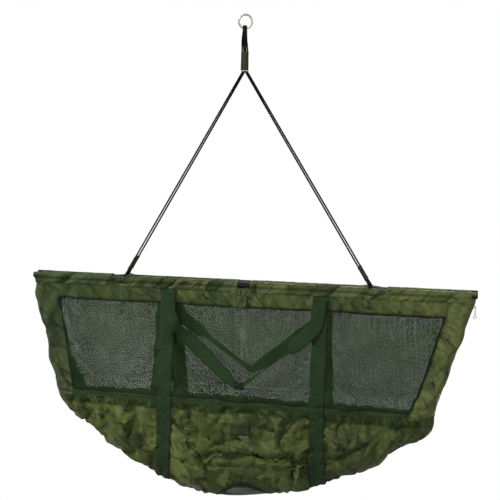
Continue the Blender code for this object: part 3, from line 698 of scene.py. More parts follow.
# %% [markdown]
# ## Letting the cloth settle
# Blender's Cloth makes better wrinkles than any formula. Each wall and the lower part is laid once as
# a plain sheet. Its seams are pinned, the cloth is made 5 or 12 percent too long, and it falls for a
# few frames, so the spare cloth buckles. The settled sheet is kept as rows of points, and every piece
# sewn from or onto that cloth is then laid on it.

# %% Settled sheets
SETTLE_FRAMES = 18
MOST_MOVE = 0.020
ROOM = 0.080
SPARE_ROOM = 0.008
LIGHT_NYLON = {"quality": 5, "mass": 0.05, "tension_stiffness": 15, "air_damping": 2}
LIGHT_NYLON.update(compression_stiffness=15, shear_stiffness=5)


class Drape:
    """A settled sheet that other pieces are laid on, from 0 to 1 across and down."""

    def __init__(self, columns, rows, place, outwards):
        self.columns = columns
        self.rows = rows
        self.outwards = outwards
        self.points = [
            [place(i / columns, j / rows) for i in range(columns + 1)] for j in range(rows + 1)
        ]

    def spot(self, a, b):
        """The place on the sheet, between its points."""
        across = min(max(a, 0.0), 1.0) * self.columns
        down = min(max(b, 0.0), 1.0) * self.rows
        i = min(int(across), self.columns - 1)
        j = min(int(down), self.rows - 1)
        across -= i
        down -= j
        upper, lower = self.points[j], self.points[j + 1]
        top = upper[i].lerp(upper[i + 1], across)
        return top.lerp(lower[i].lerp(lower[i + 1], across), down)

    def at(self, a, b, out=0.0):
        """The place on the sheet, moved out along its normal."""
        place = self.spot(a, b)
        if not out:
            return place
        step_a, step_b = 0.8 / self.columns, 0.8 / self.rows
        across = self.spot(a + step_a, b) - self.spot(a - step_a, b)
        down = self.spot(a, b + step_b) - self.spot(a, b - step_b)
        return place + across.cross(down).normalized() * out * self.outwards

    def settle(self, sewn, spare, bend):
        """Lets the cloth fall, pinned by sewn(a, b) and longer than its place by spare."""

        def lay(a, b):
            return self.spot(a, b), (a, b)

        sheet = lay_cloth("settling", self.columns, self.rows, lay)
        count = self.columns + 1
        pins = sheet.vertex_groups.new(name="sewn")
        for k in range(len(sheet.data.vertices)):
            weight = sewn(k % count / self.columns, k // count / self.rows)
            if weight > 0:
                pins.add([k], weight, "REPLACE")
        cloth = sheet.modifiers.new("cloth", "CLOTH")
        cloth.settings.vertex_group_mass = pins.name
        settings = {**LIGHT_NYLON, "bending_stiffness": bend, "shrink_min": -spare}
        for word, value in settings.items():
            setattr(cloth.settings, word, value)
        cloth.collision_settings.use_collision = False
        cloth.point_cache.frame_end = SETTLE_FRAMES
        for frame_number in range(1, SETTLE_FRAMES + 1):
            bpy.context.scene.frame_set(frame_number)
        active_only(sheet)
        bpy.ops.object.modifier_apply(modifier=cloth.name)
        most = 0.0
        for k, vertex in enumerate(sheet.data.vertices):
            row = self.points[k // count]
            move = vertex.co - row[k % count]
            move *= MOST_MOVE / max(move.length, MOST_MOVE)
            most = max(most, move.length)
            row[k % count] = row[k % count] + move
        bpy.data.objects.remove(sheet)
        bpy.context.scene.frame_set(1)
        print(f"settled, at most {most * 1000:.0f} mm")


# %% Walls
WALL_COLUMNS, WALL_ROWS = 190, 60


def wall_share(s, drop):
    """Place on a wall's sheet of a point s metres along the cloth."""
    return 0.5 + 0.5 * s / end_reach(drop), (drop - CLOTH_TOP) / (HEM_BOTTOM - CLOTH_TOP)


def wall_sewn(a, b):
    """1 at the seams of a wall, less along the straps."""
    if min(a, 1 - a, b, 1 - b) < 0.017:
        return 1.0
    s = abs(2 * a - 1) * end_reach(mix(CLOTH_TOP, HEM_BOTTOM, b))
    return 0.85 * bump(s, STRAP_X, 0.03)


WALLS = {}
for label, face in FACES.items():
    def plain_wall(a, b):
        drop = mix(CLOTH_TOP, HEM_BOTTOM, b)
        s = (2 * a - 1) * end_reach(drop)
        return on_wall(face, s, drop, wall_fold(face, s, drop))

    WALLS[face] = Drape(WALL_COLUMNS, WALL_ROWS, plain_wall, face)
    WALLS[face].settle(wall_sewn, spare=0.05, bend=0.05)


def cloth_point(face, s, drop, out=0.0):
    """A point on the settled cloth of a wall."""
    return WALLS[face].at(*wall_share(s, drop), out)


# %% Lower part
BOWL_COLUMNS, BOWL_ROWS = 200, 130
COLUMN_PULL = 0.96 * math.pi / 2


def bowl_x(a):
    """Columns close up where the bowl turns to its ends."""
    return ZIP_BOTTOM_X * math.sin((2 * a - 1) * COLUMN_PULL) / math.sin(COLUMN_PULL)


def bowl_share(x):
    """The other way round: the column of a place."""
    x = min(max(x, -ZIP_BOTTOM_X), ZIP_BOTTOM_X)
    return 0.5 + 0.5 * math.asin(x * math.sin(COLUMN_PULL) / ZIP_BOTTOM_X) / COLUMN_PULL


def plain_bowl(a, b):
    x, turn = bowl_x(a), math.pi * b
    return bowl_point(x, turn, bowl_fold(x, turn))


def bowl_sewn(a, b):
    """1 at the seams, on the drains and under the label, less under the straps."""
    if min(a, 1 - a, b, 1 - b) < 0.012:
        return 1.0
    x = bowl_x(a)
    down = b * math.pi * KEEL_LENGTH_SHARE
    label = abs(x - 0.003) < 0.026 and 0.04 < down < 0.09
    strap = 0.9 * bump(abs(x), STRAP_X, 0.03)
    keel = 0.9 * bump(b, 0.5, 0.12)
    return max(1.0 if label else 0.0, strap, keel, drain_share(x, math.pi * b))


BOWL = Drape(BOWL_COLUMNS, BOWL_ROWS, plain_bowl, -1)
BOWL.settle(bowl_sewn, spare=0.12, bend=0.03)


def kept_in(spot):
    """Eases a place back when the cloth stands far out in front or behind."""
    over = abs(spot.y) - ROOM
    if over > 0:
        spot.y = math.copysign(ROOM + SPARE_ROOM * math.tanh(over / SPARE_ROOM), spot.y)
    return spot


BOWL.points = [[kept_in(spot) for spot in row] for row in BOWL.points]
furthest = max(abs(spot.y) for row in BOWL.points for spot in row)
print(f"the lower part stands out by {furthest * 1000:.0f} mm at most")


def low_point(x, turn, out=0.0):
    """A point on the settled lower part."""
    return BOWL.at(bowl_share(x), turn / math.pi, out)


def bag_point(face, s, drop, out=0.0):
    """A point on a wall, or on the lower part where the drop lies below the seam."""
    if drop <= HEM_BOTTOM:
        return cloth_point(face, s, drop, out)
    turn = (drop - HEM_BOTTOM) / keel_drop(s)
    return low_point(s, turn if face < 0 else math.pi - turn, out)


# %% [markdown]
# ## Finishes of the soft parts
# The nylon is thin coated cloth with a slight sheen, so its folds shine along their crests. Its
# colour also holds painted shade: each crumpled facet is painted lighter or darker as if it faced the
# light its own way, and thin lines round the facets are painted dark as crease shadow. Each nylon is
# also painted lighter towards one end, as painted light. The webbing is ribbed, the net a dark knit,
# the cord a black braid. Their patterns read the UV map, which is in metres.

# %% Nylon
TURN = math.tau


def facets(made, spot, scale):
    """Crumpled facets: each has its own slope, and its own painted shade as if it faced the light its
    own way, with a thin crease line round it for painted crease shadow.
    """
    values = {"Vector": spot, "Scale": scale}
    centre = made.node("ShaderNodeTexVoronoi", values=values, output=2)
    # The cell colour gives each facet a painted shade, as if it faced the light its own way.
    shade = made.node("ShaderNodeTexVoronoi", values=values, output=1)
    half = {0: shade, 1: (0.5, 0.5, 0.5)}
    slope = made.node("ShaderNodeVectorMath", {"operation": "SUBTRACT"}, half)
    away = made.node("ShaderNodeVectorMath", {"operation": "SUBTRACT"}, {0: spot, 1: centre})
    dot = {"operation": "DOT_PRODUCT"}
    height = made.node("ShaderNodeVectorMath", dot, {0: away, 1: slope}, output=1)
    # The distance to the cell edge marks the thin lines that are painted dark as crease shadow.
    edge_kind = {"feature": "DISTANCE_TO_EDGE"}
    edge = made.node("ShaderNodeTexVoronoi", edge_kind, values)
    crease = made.node("ShaderNodeMapRange", values={0: edge, 1: 0.0, 2: 0.07, 3: 1.0, 4: 0.0})
    return height, made.node("ShaderNodeSeparateColor", values={0: shade}), crease


def nylon_finish(name, dark, light, painted_light_drift, facet=15.0, stretch=(1, 1, 1), slant=0.0):
    """Coated nylon, crumpled into facets, with painted shade on its facets and in their crease lines;
    it is also painted lighter towards one end, as painted light.
    """
    made = Finish(name, Roughness=0.5, Specular_IOR_Level=0.11)
    across, along = made.across_and_along()
    spot = made.node("ShaderNodeTexCoord", output=2)
    spot = made.node("ShaderNodeMapping", values={"Vector": spot, "Rotation": (0, 0, slant)})
    spot = made.node("ShaderNodeMapping", values={"Vector": spot, "Scale": stretch})
    warp = made.node("ShaderNodeTexNoise", values={"Vector": spot, "Scale": 16.0}, output=1)
    mixing = {"data_type": "VECTOR"}
    bent = made.node("ShaderNodeMix", mixing, {0: 0.05, 4: spot, 5: warp}, output=1)
    wide_height, wide_facet_shade, wide_crease_shade = facets(made, bent, facet)
    small_height, small_facet_shade, small_crease_shade = facets(made, bent, facet * 3.1)
    mottle = made.cloud(9.0, detail=4.0, roughness=0.6)
    patch = made.cloud(11.0, detail=2.0, stretch=(1, 1, 1.8))
    handled = made.node("ShaderNodeMapRange", values={0: patch, 1: 0.48, 2: 0.60})
    broken = made.cloud(30.0, detail=1.0)
    broken = made.node("ShaderNodeMapRange", values={0: broken, 1: 0.45, 2: 0.62})
    # Besides the random mottle, this colour share holds painted light: each facet's painted shade and
    # a painted lightening towards one end.
    mottle_and_painted_light = mottle * 0.75 + wide_facet_shade * 0.18 + small_facet_shade * 0.07 + across * painted_light_drift
    colour = made.tint(mottle_and_painted_light, [(0.25, dark), (0.75, light)])
    # Painted crease shadow: the thin lines round the facets are blended towards near black.
    deep = tuple(c * 0.15 for c in dark)
    painted_crease_shade = (wide_crease_shade + small_crease_shade * handled) * broken
    made.wear("Base Color", made.blend(painted_crease_shade * 0.85, colour, deep))
    made.wear("Roughness", mottle * 0.2 + 0.40)
    weave = (across * (TURN / 0.0011)).wave() * (along * (TURN / 0.0011)).wave()
    made.relief(wide_height + small_height * handled + weave * 0.0001, 1.2, 1.0)
    return made


# Painted light: the band is painted lighter towards the right and the lower part towards the left,
# for how the lamps light them.
BAND_NYLON = nylon_finish(
    "olive_nylon",
    (0.018, 0.029, 0.009),
    (0.068, 0.080, 0.023),
    painted_light_drift=0.34,
    facet=38.0,
    stretch=(1, 0.22, 1),
    slant=0.75,
)
BOWL_NYLON = nylon_finish("olive_nylon_lower", (0.026, 0.037, 0.008), (0.070, 0.085, 0.022), -0.3)
print("nylons:", BAND_NYLON.material.name, BOWL_NYLON.material.name)

# %% Webbing and net


def webbing_finish(name, dark, light, rib=0.0021):
    """Ribbed polyester webbing, with its ribs across the strap."""
    made = Finish(name, Roughness=0.72, Specular_IOR_Level=0.08)
    across, along = made.across_and_along()
    slant = along * (TURN / rib) + (across * (TURN / 0.0045)).wave() * 2.2
    ribs = slant.wave()
    warp = (across * (TURN / 0.0014)).wave()
    wear = made.cloud(35.0, detail=4.0)
    share = ribs * 0.35 + wear * 0.65
    made.wear("Base Color", made.tint(share, [(0.25, dark), (0.75, light)]))
    made.relief(ribs * 0.7 + warp * 0.3, 0.0006, 0.9)
    return made


def net_finish(name, dark, light):
    """Knitted yarn: small loops along each strand."""
    made = Finish(name, Roughness=0.70, Specular_IOR_Level=0.08)
    loops = made.cloud(900.0, detail=1.0)
    patch = made.cloud(14.0, detail=3.0)
    share = loops * 0.4 + patch * 0.6
    made.wear("Base Color", made.tint(share, [(0.3, dark), (0.7, light)]))
    made.relief(loops, 0.0004, 0.7)
    return made


WEBBING = webbing_finish("green_webbing", (0.008, 0.019, 0.006), (0.015, 0.032, 0.011))
NET = net_finish("dark_green_net", (0.006, 0.015, 0.004), (0.014, 0.030, 0.009))
# The back net is a lighter copy of the same dark net: painted light, for the light it catches behind
# the front windows.
BACK_NET_PAINTED_LIGHTER = net_finish("green_net", (0.042, 0.090, 0.022), (0.072, 0.140, 0.040))
SEAM_CLOTH = net_finish("dark_binding", (0.003, 0.007, 0.003), (0.009, 0.016, 0.007))
# A darker copy of the webbing: painted shade, for the shadow the back handle hangs in behind both
# walls.
BACK_WEBBING_PAINTED_DARKER = webbing_finish("webbing_painted_darker", (0.006, 0.014, 0.004), (0.011, 0.024, 0.007))
SEAM_NET = net_finish("net_over_binding", (0.007, 0.016, 0.006), (0.015, 0.030, 0.012))
print("materials so far:", len(bpy.data.materials))

# %% Cord, thread and zip cloth
BRAID_WIDTH = 0.0023


def braid_finish(name, dark, light, pitch, depth):
    """A round braid: two sets of strands that cross, from the UV map in metres."""
    made = Finish(name, Roughness=0.62, Specular_IOR_Level=0.06)
    across, along = made.across_and_along()
    one = (along * (TURN / pitch) + across * (TURN / BRAID_WIDTH)).wave()
    two = (along * (TURN / pitch) - across * (TURN / BRAID_WIDTH)).wave()
    strands = one.maths("MAXIMUM", one, two)
    dust = made.cloud(120.0, detail=3.0)
    made.wear("Base Color", made.tint(strands * 0.6 + dust * 0.4, [(0.3, dark), (0.9, light)]))
    made.relief(strands, depth, 1.0)
    return made


CORD_BLACK = braid_finish(
    "black_braid", (0.0012, 0.0014, 0.0012), (0.005, 0.0055, 0.005), 0.0046, 0.0007
)
THREAD = braid_finish(
    "whipping_thread", (0.0015, 0.0022, 0.0012), (0.030, 0.040, 0.018), 0.0016, 0.0005
)
ZIP_CLOTH = webbing_finish("zip_tape", (0.008, 0.012, 0.006), (0.020, 0.026, 0.014), 0.0016)
print("materials so far:", len(bpy.data.materials))

# %% Metal, rubber and fibreglass


def steel_finish(name, colour, roughness):
    """Polished steel with fine scratches and a few dull patches."""
    made = Finish(name, Metallic=1.0, Roughness=roughness)
    scratch = made.cloud(420.0, detail=4.0, stretch=(1, 0.15, 1))
    dull = made.cloud(70.0, detail=3.0)
    dark = tuple(c * 0.72 for c in colour)
    made.wear("Base Color", made.tint(scratch * 0.5 + dull * 0.5, [(0.3, dark), (0.6, colour)]))
    made.wear("Roughness", dull * 0.25 + (roughness - 0.06))
    made.relief(scratch, 0.0001, 0.35)
    return made


def moulded_finish(name, dark, light, roughness, grain):
    """Black plastic or rubber with a fine grain."""
    made = Finish(name, Roughness=roughness, Specular_IOR_Level=0.1)
    speck = made.cloud(grain, detail=3.0)
    smear = made.cloud(40.0, detail=3.0)
    made.wear("Base Color", made.tint(speck * 0.4 + smear * 0.6, [(0.3, dark), (0.75, light)]))
    made.wear("Roughness", smear * 0.2 + (roughness - 0.1))
    made.relief(speck, 0.0002, 0.5)
    return made


STEEL = steel_finish("polished_steel", (0.30, 0.32, 0.28), 0.30)
ZIP_METAL = steel_finish("nickel", (0.36, 0.36, 0.32), 0.34)
POLE_BLACK = moulded_finish("fibreglass", (0.003, 0.003, 0.004), (0.009, 0.009, 0.010), 0.34, 900)
RUBBER = moulded_finish("rubber_cap", (0.003, 0.003, 0.003), (0.010, 0.010, 0.009), 0.66, 1500)
print("finishes:", len([m for m in bpy.data.materials if m.use_nodes]))

# %% [markdown]
# ## Steel ring
# A welded ring of round wire. It starts as a torus, and the weld is a short swelling of the wire:
# the points near it are selected by place and scaled about the wire's middle.

# %% Ring
bpy.ops.object.select_all(action="DESELECT")
bpy.ops.mesh.primitive_torus_add(
    major_radius=RING_RADIUS,
    minor_radius=RING_WIRE / 2,
    major_segments=72,
    minor_segments=20,
    rotation=(math.pi / 2, 0, 0),
    location=RING_CENTRE,
)
ring = bpy.context.object
ring.name = "welded_ring"
bpy.ops.object.transform_apply(location=True, rotation=True, scale=True)
weld_angle = math.radians(200)
weld = RING_CENTRE + Vector((math.cos(weld_angle), 0, math.sin(weld_angle))) * RING_RADIUS
for vertex in ring.data.vertices:
    vertex.select = (vertex.co - weld).length < RING_WIRE * 0.62
bpy.ops.object.mode_set(mode="EDIT")
bpy.ops.transform.resize(value=(1.10, 1.12, 1.10), center_override=weld)
bpy.ops.object.mode_set(mode="OBJECT")
ring.data.shade_smooth()
put_on(ring, STEEL, "steel", "ring", "scale_ring")
print("ring points:", len(ring.data.vertices))

# %% [markdown]
# ## Cords
# The cords carry the whole load, so they run straight: two bights over the ring, gathered in the
# sleeve, and four legs that loop round the poles. Each is a tube swept along the CAD route, with a
# UV map in metres for the braid.

# %% Smooth routes


def smooth_route(points, step):
    """Points about one step apart on a smooth curve through the route's own points."""
    ends = [2 * points[0] - points[1], *points, 2 * points[-1] - points[-2]]
    found = []
    for a, b, c, d in zip(ends, ends[1:], ends[2:], ends[3:]):
        reach = (c - b).length
        parts = max(1, round(reach / step))
        leave = (c - a).normalized() * reach
        arrive = (d - b).normalized() * reach
        for k in range(parts):
            w = curve_shares(k / parts)
            found.append(b * w[0] + leave * w[1] + c * w[2] + arrive * w[3])
    found.append(points[-1])
    return found


# %% Sweep


def sweep(name, path, radius, sides=12, flat=0.0):
    """A closed tube along a path, its radius given at each distance; flat pulls its sides apart."""
    verts, uvs, faces = [], [], []
    up = Vector((0, 1, 0))
    travelled = 0.0
    for k, point in enumerate(path):
        before = path[max(k - 1, 0)]
        after = path[min(k + 1, len(path) - 1)]
        way = (after - before).normalized()
        travelled += (point - before).length
        right = way.cross(up)
        right = right.normalized() if right.length > 0.02 else Vector((1, 0, 0))
        top = right.cross(way).normalized()
        thick = radius(travelled)
        for j in range(sides + 1):
            turn = TURN * j / sides
            c = math.cos(turn)
            shift = math.copysign(flat, c) if abs(c) > 1e-6 else 0.0
            verts.append(point + top * (thick * c + shift) + right * thick * math.sin(turn))
            uvs.append((turn * thick, travelled))
    ring_count = sides + 1
    for k in range(len(path) - 1):
        for j in range(sides):
            a = k * ring_count + j
            faces.append((a, a + ring_count, a + ring_count + 1, a + 1))
    faces.append(list(range(sides)))
    last = (len(path) - 1) * ring_count
    faces.append([last + j for j in range(sides)][::-1])
    piece = fresh_mesh(name, verts, faces, uvs)
    piece.data.shade_smooth()
    return piece


# %% A cord


def make_cord(name, path, body, node):
    """A taut cord along its path, dressed and hung on its body."""
    cord = sweep(name, path, lambda distance: CORD / 2)
    put_on(cord, CORD_BLACK, "cord", body, node)
    length = sum((b - a).length for a, b in zip(path, path[1:]))
    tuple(path[0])
    print(f"{name}: {length * 1000:.0f} mm")


# %% Two bights over the ring
# The sleeve presses the four strands flat, into one row: front left, back left, front right and
# back right, in metres from the middle.
ARC_STEPS = 12
CORD_GAP = 0.0004
LAY_STEP = 0.0006
ROW = {("front", "left"): -0.0070, ("back", "left"): -0.0024}
ROW.update({("front", "right"): 0.0022, ("back", "right"): 0.0068})
turn_radius = (RING_WIRE + CORD) / 2 + CORD_GAP
lift = RING_RADIUS - math.sqrt(RING_RADIUS**2 - (STRAND_PITCH / 2) ** 2)
foot_z = RING_CENTRE.z - RING_RADIUS + lift
for side, sign in SIDES.items():
    x = sign * STRAND_PITCH / 2
    strands = {}
    for label, face in FACES.items():
        row = ROW[label, side]
        strands[label] = [
            Vector((row, face * LAY_STEP, SLEEVE_MOUTH)),
            Vector((row, face * LAY_STEP, SLEEVE_TOP)),
            Vector((mix(row, x, 0.4) - 0.0012, face * 0.0020, mix(SLEEVE_TOP, foot_z, 0.5))),
            Vector((x, face * turn_radius, foot_z - turn_radius)),
        ]
    turns = [math.pi * k / ARC_STEPS for k in range(ARC_STEPS + 1)]
    arc = [
        Vector((x, -turn_radius * math.cos(t), foot_z + turn_radius * math.sin(t)))
        for t in turns
    ]
    path = smooth_route(strands["front"] + arc + strands["back"][::-1], 0.004)
    make_cord(f"bight_{side}", path, "harness", f"cord_loop_{side}")

# %% Four legs round the poles


def eye_frame(sign, face):
    """Where a leg meets its pole, and the leg's way up."""
    foot = Vector((sign * EYE_X, face * POLE_Y, POLE_Z))
    top = Vector((sign * STRAND_PITCH / 2, foot.y, SLEEVE_MOUTH))
    return foot, (top - foot).normalized()


def leg_route(side, sign, label, face):
    """From the sleeve round the pole and back up beside itself."""
    foot, up = eye_frame(sign, face)
    across = Vector((0, face, 0))
    clear = (POLE + CORD) / 2 + CORD_GAP
    half = STRAND_PITCH / 2
    start = Vector((ROW[label, side], face * LAY_STEP, SLEEVE_MOUTH - 0.0008))
    route = [start, start - Vector((0, 0, 0.004))]
    for h in (WHIPPING_TOP + 0.020, WHIPPING_TOP, EYE_MERGE + CORD, EYE_MERGE):
        route.append(foot + up * h + across * half)
    for k in range(ARC_STEPS + 1):
        t = math.pi * k / ARC_STEPS
        rise = -up * clear / up.z * math.sin(t)
        route.append(foot + across * clear * math.cos(t) + rise)
    for h in (EYE_MERGE, EYE_MERGE + CORD, WHIPPING_TOP - 0.003):
        route.append(foot + up * h - across * half)
    return smooth_route(route, 0.005)


for label, face, side, sign in QUARTERS:
    path = leg_route(side, sign, label, face)
    make_cord(f"leg_{label}_{side}", path, f"{label}_frame", f"cord_leg_{label}_{side}")
print("legs:", len(QUARTERS))

# %% [markdown]
# ## Whippings and sleeve
# Thread is wound round each doubled cord end. The sweep swells and shrinks at every turn of thread,
# so the winding shows in the outline too. The sleeve starts as a cylinder with its ends set in.
# It is then pressed flat round the row of strands, with a dent where it folds over itself.

# %% Whippings
THREAD_PITCH = 0.0016
WHIPPING_REACH = WHIPPING_TOP - EYE_MERGE - CORD


def wound(distance):
    """The whipping's radius: it swells at every turn of thread, and more at its ends."""
    swell = 0.00022 * math.sin(TURN * distance / THREAD_PITCH)
    ends = bump(distance, 0.004, 0.004) + bump(distance, WHIPPING_REACH - 0.004, 0.004)
    return CORD / 2 + 0.0007 + swell + 0.0005 * ends


for label, face, side, sign in QUARTERS:
    foot, up = eye_frame(sign, face)
    base = foot + up * (EYE_MERGE + CORD)
    steps = round(WHIPPING_REACH / THREAD_PITCH * 4)
    path = [base + up * WHIPPING_REACH * k / steps for k in range(steps + 1)]
    whipping = sweep(f"whipping_{label}_{side}", path, wound, sides=20, flat=STRAND_PITCH / 2)
    put_on(whipping, THREAD, "thread", f"{label}_frame", f"cord_whipping_{label}_{side}")
print("whipping turns:", round(WHIPPING_REACH / THREAD_PITCH))

# %% Sleeve
SLEEVE_HALF = 0.0098
SLEEVE_DEPTH = 0.0040
SLEEVE_EDGE = 0.004
SLEEVE_WALL = 0.0012
SLEEVE_HOLLOW = 0.003
SLEEVE_MIDDLE = (SLEEVE_TOP + SLEEVE_MOUTH) / 2
bpy.ops.object.select_all(action="DESELECT")
bpy.ops.mesh.primitive_cylinder_add(
    vertices=40,
    radius=SLEEVE_DEPTH,
    depth=SLEEVE_TOP - SLEEVE_MOUTH,
    location=(0, 0, SLEEVE_MIDDLE),
)
sleeve = bpy.context.object
sleeve.name = "cord_gathering_sleeve"
bpy.ops.object.transform_apply(location=True, rotation=True, scale=True)
for face in sleeve.data.polygons:
    face.select = abs(face.normal.z) > 0.9
for item in (*sleeve.data.vertices, *sleeve.data.edges):
    item.select = False
bpy.ops.object.mode_set(mode="EDIT")
bpy.ops.mesh.select_mode(type="FACE")
bpy.ops.mesh.inset(thickness=SLEEVE_WALL)
for cut in (SLEEVE_TOP - SLEEVE_EDGE, SLEEVE_MOUTH + SLEEVE_EDGE):
    bpy.ops.mesh.select_all(action="SELECT")
    bpy.ops.mesh.bisect(plane_co=(0, 0, cut), plane_no=(0, 0, 1))
bpy.ops.object.mode_set(mode="OBJECT")
for vertex in sleeve.data.vertices:
    x, y, z = vertex.co
    at_end = z > SLEEVE_TOP - 0.001 or z < SLEEVE_MOUTH + 0.001
    inner = at_end and math.hypot(x, y) < SLEEVE_DEPTH - 0.0006
    side_share = x / SLEEVE_DEPTH
    dent = 1 - 0.35 * bump(side_share, -0.35, 0.5)
    tilt = -0.0016 * (SLEEVE_TOP - z) / (SLEEVE_TOP - SLEEVE_MOUTH)
    vertex.co.x = side_share * SLEEVE_HALF + tilt
    vertex.co.y = y * dent * (1 + 0.10 * rough(x * 400, y * 400, z * 90))
    if inner:
        vertex.co.z += math.copysign(SLEEVE_HOLLOW, SLEEVE_MIDDLE - z)
active_only(sleeve)
soften = sleeve.modifiers.new("soft_edges", "BEVEL")
soften.width = 0.0004
soften.segments = 2
bpy.ops.object.modifier_apply(modifier="soft_edges")
open_for_edit(sleeve)
bpy.ops.uv.cube_project(cube_size=1.0)
bpy.ops.object.mode_set(mode="OBJECT")
bpy.ops.object.shade_smooth_by_angle(angle=math.radians(35))
SLEEVE_WEB = webbing_finish("olive_sleeve_webbing", (0.010, 0.018, 0.008), (0.028, 0.034, 0.016))
put_on(sleeve, SLEEVE_WEB, "webbing", "harness", "cord_sleeve")
print("sleeve faces:", len(sleeve.data.polygons))

# %% [markdown]
# ## Poles
# Each pole is two thin tubes on a coupling, with rubber caps. They show at the coupling, at the
# notches where the cords grip and at the ends. A profile is drawn once and spun round the pole's
# axis, as on a lathe.

# %% Spun pieces


def spun(name, profile, face, steps=40):
    """Spins (x, radius) points round a pole's axis."""
    edges = [(k, k + 1) for k in range(len(profile) - 1)]
    if profile[0][1] > 0:
        edges.append((len(profile) - 1, 0))
    piece = fresh_mesh(name, [(x, 0, r) for x, r in profile], [], edges=edges)
    open_for_edit(piece)
    bpy.ops.mesh.spin(steps=steps, angle=TURN, center=(0, 0, 0), axis=(1, 0, 0))
    bpy.ops.mesh.select_all(action="SELECT")
    bpy.ops.mesh.remove_doubles(threshold=0.00001)
    bpy.ops.mesh.normals_make_consistent(inside=False)
    bpy.ops.object.mode_set(mode="OBJECT")
    piece.location = (0, face * POLE_Y, POLE_Z)
    bpy.ops.object.transform_apply(location=True, rotation=True, scale=True)
    bpy.ops.object.shade_smooth_by_angle(angle=math.radians(35))
    return piece


# %% Tubes, couplings and caps
# Every profile is a row of points: metres right of the middle, and metres out from the axis.
TUBE_NEAR, TUBE_FAR = 0.0143, 0.5967
TUBE = [
    (TUBE_NEAR + 0.0004, 0.0050),
    (TUBE_NEAR, 0.0054),
    (TUBE_NEAR, 0.0057),
    (TUBE_NEAR + 0.0003, 0.0060),
    (TUBE_FAR - 0.0003, 0.0060),
    (TUBE_FAR, 0.0057),
    (TUBE_FAR, 0.0050),
]
CAP = [(0.6000, 0), (0.6000, 0.0052), (0.5998, 0.0064), (0.5990, 0.0075)]
CAP += [(0.5978, 0.0081), (0.5962, 0.00825), (0.5935, 0.00825), (0.5930, 0.0078)]
CAP += [(0.5924, 0.0078), (0.5919, 0.00825), (0.5860, 0.00825), (0.5852, 0.0080)]
CAP += [(0.5850, 0.0075), (0.5850, 0.0063), (0.5970, 0.0063), (0.5970, 0)]
COUPLING = [(0.050, 0), (0.050, 0.0040), (0.0490, 0.0047), (0.0140, 0.0047), (0.0140, 0.0066)]
COUPLING += [(0.0134, 0.0072), (0.0122, 0.0073), (0.0065, 0.0073), (0.0060, 0.0069)]
COUPLING += [(0.0048, 0.0069), (0.0043, 0.0073)]
COUPLING += [(-x, r) for x, r in reversed(COUPLING)]
for label, face in FACES.items():
    for side, sign in SIDES.items():
        body = f"{label}_pole_right" if side == "right" else f"{label}_frame"
        piece = spun(f"tube_{label}_{side}", [(sign * x, r) for x, r in TUBE], face)
        put_on(piece, POLE_BLACK, "pole", body, f"pole_{label}_{side}")
        piece = spun(f"cap_{label}_{side}", [(sign * x, r) for x, r in CAP], face)
        put_on(piece, RUBBER, "rubber", body, f"pole_cap_{label}_{side}")
    piece = spun(f"coupling_{label}", COUPLING, face)
    put_on(piece, POLE_BLACK, "pole", f"{label}_frame", f"pole_coupling_{label}")
print("pole pieces made")

# %% [markdown]
# ## Wall cloth
# Each wall is one sheet of nylon with three windows cut out. Its columns follow the windows' slanted
# edges, so the cut is clean. The front sheet is given the bend between its wall and the bowl as its
# body, but it is only baked in place. The back sheet keeps to its wall.

# %% Wall columns and rows
# The grid's columns stand between the marked upright lines of a wall, its rows between the levels.
STRAP_STRIP = (0.187, 0.228)
COLUMN_COUNTS = (34, 10, 58, 24)
LEVELS = (CLOTH_TOP, WINDOW_TOP, WINDOW_BOTTOM, HEM_BOTTOM)
ROW_COUNTS = (16, 54, 4)
COLUMNS, ROWS = sum(COLUMN_COUNTS), sum(ROW_COUNTS)


def window_edge(drop, face):
    """How far out the outer windows reach at a height; the back ones reach further."""
    share = (drop - WINDOW_TOP) / (WINDOW_BOTTOM - WINDOW_TOP)
    wider = mix(0.022, 0.043, share) if face > 0 else 0.0
    return mix(0.520, 0.442, share) + wider


def stepped(left, counts, stops):
    """The place after so many steps, where each pair of stops has its own count of steps."""
    for k, count in enumerate(counts):
        if left <= count or k == len(counts) - 1:
            return mix(stops[k], stops[k + 1], min(left / count, 1.0))
        left -= count


def wall_place(a, b, face):
    """Metres along the cloth and below the pole, from shares of the columns and rows."""
    drop = stepped(b * ROWS, ROW_COUNTS, LEVELS)
    marks = (0.0, *STRAP_STRIP, window_edge(drop, face), end_reach(drop))
    s = stepped(abs(a * 2 - 1) * COLUMNS, COLUMN_COUNTS, marks)
    return math.copysign(s, a * 2 - 1), drop


def not_window(a, b, face):
    """Keeps the faces round the windows; the back ones run on below the seam."""
    column, row = abs(a * 2 - 1) * COLUMNS, b * ROWS
    if row < ROW_COUNTS[0] or (row > sum(ROW_COUNTS[:2]) and face < 0):
        return True
    middle = column < COLUMN_COUNTS[0]
    outer = sum(COLUMN_COUNTS[:2]) < column < sum(COLUMN_COUNTS[:3])
    return not (middle or outer)


print(f"wall grid: {2 * COLUMNS} x {ROWS} faces")

# %% Two wall cloths
# A bend is two bodies, and where it starts and ends. Every piece of the front that reaches the seam
# has it. On the back, what hangs below the seam rides on the bowl.
BEND_START = (0, -0.1174, -0.9576)
BEND_END = (0, -0.0326, -1.0424)
FRONT_BEND = ("front_wall", "bowl", BEND_START, BEND_END)
WALL_BODY = {"front": FRONT_BEND, "back": "back_wall"}
LOW_BODY = {"front": FRONT_BEND, "back": "bowl"}
LOW_WINDOW_BOTTOM = {"front": WINDOW_BOTTOM, "back": 0.342}
LOW_WINDOW_EDGE = 0.470

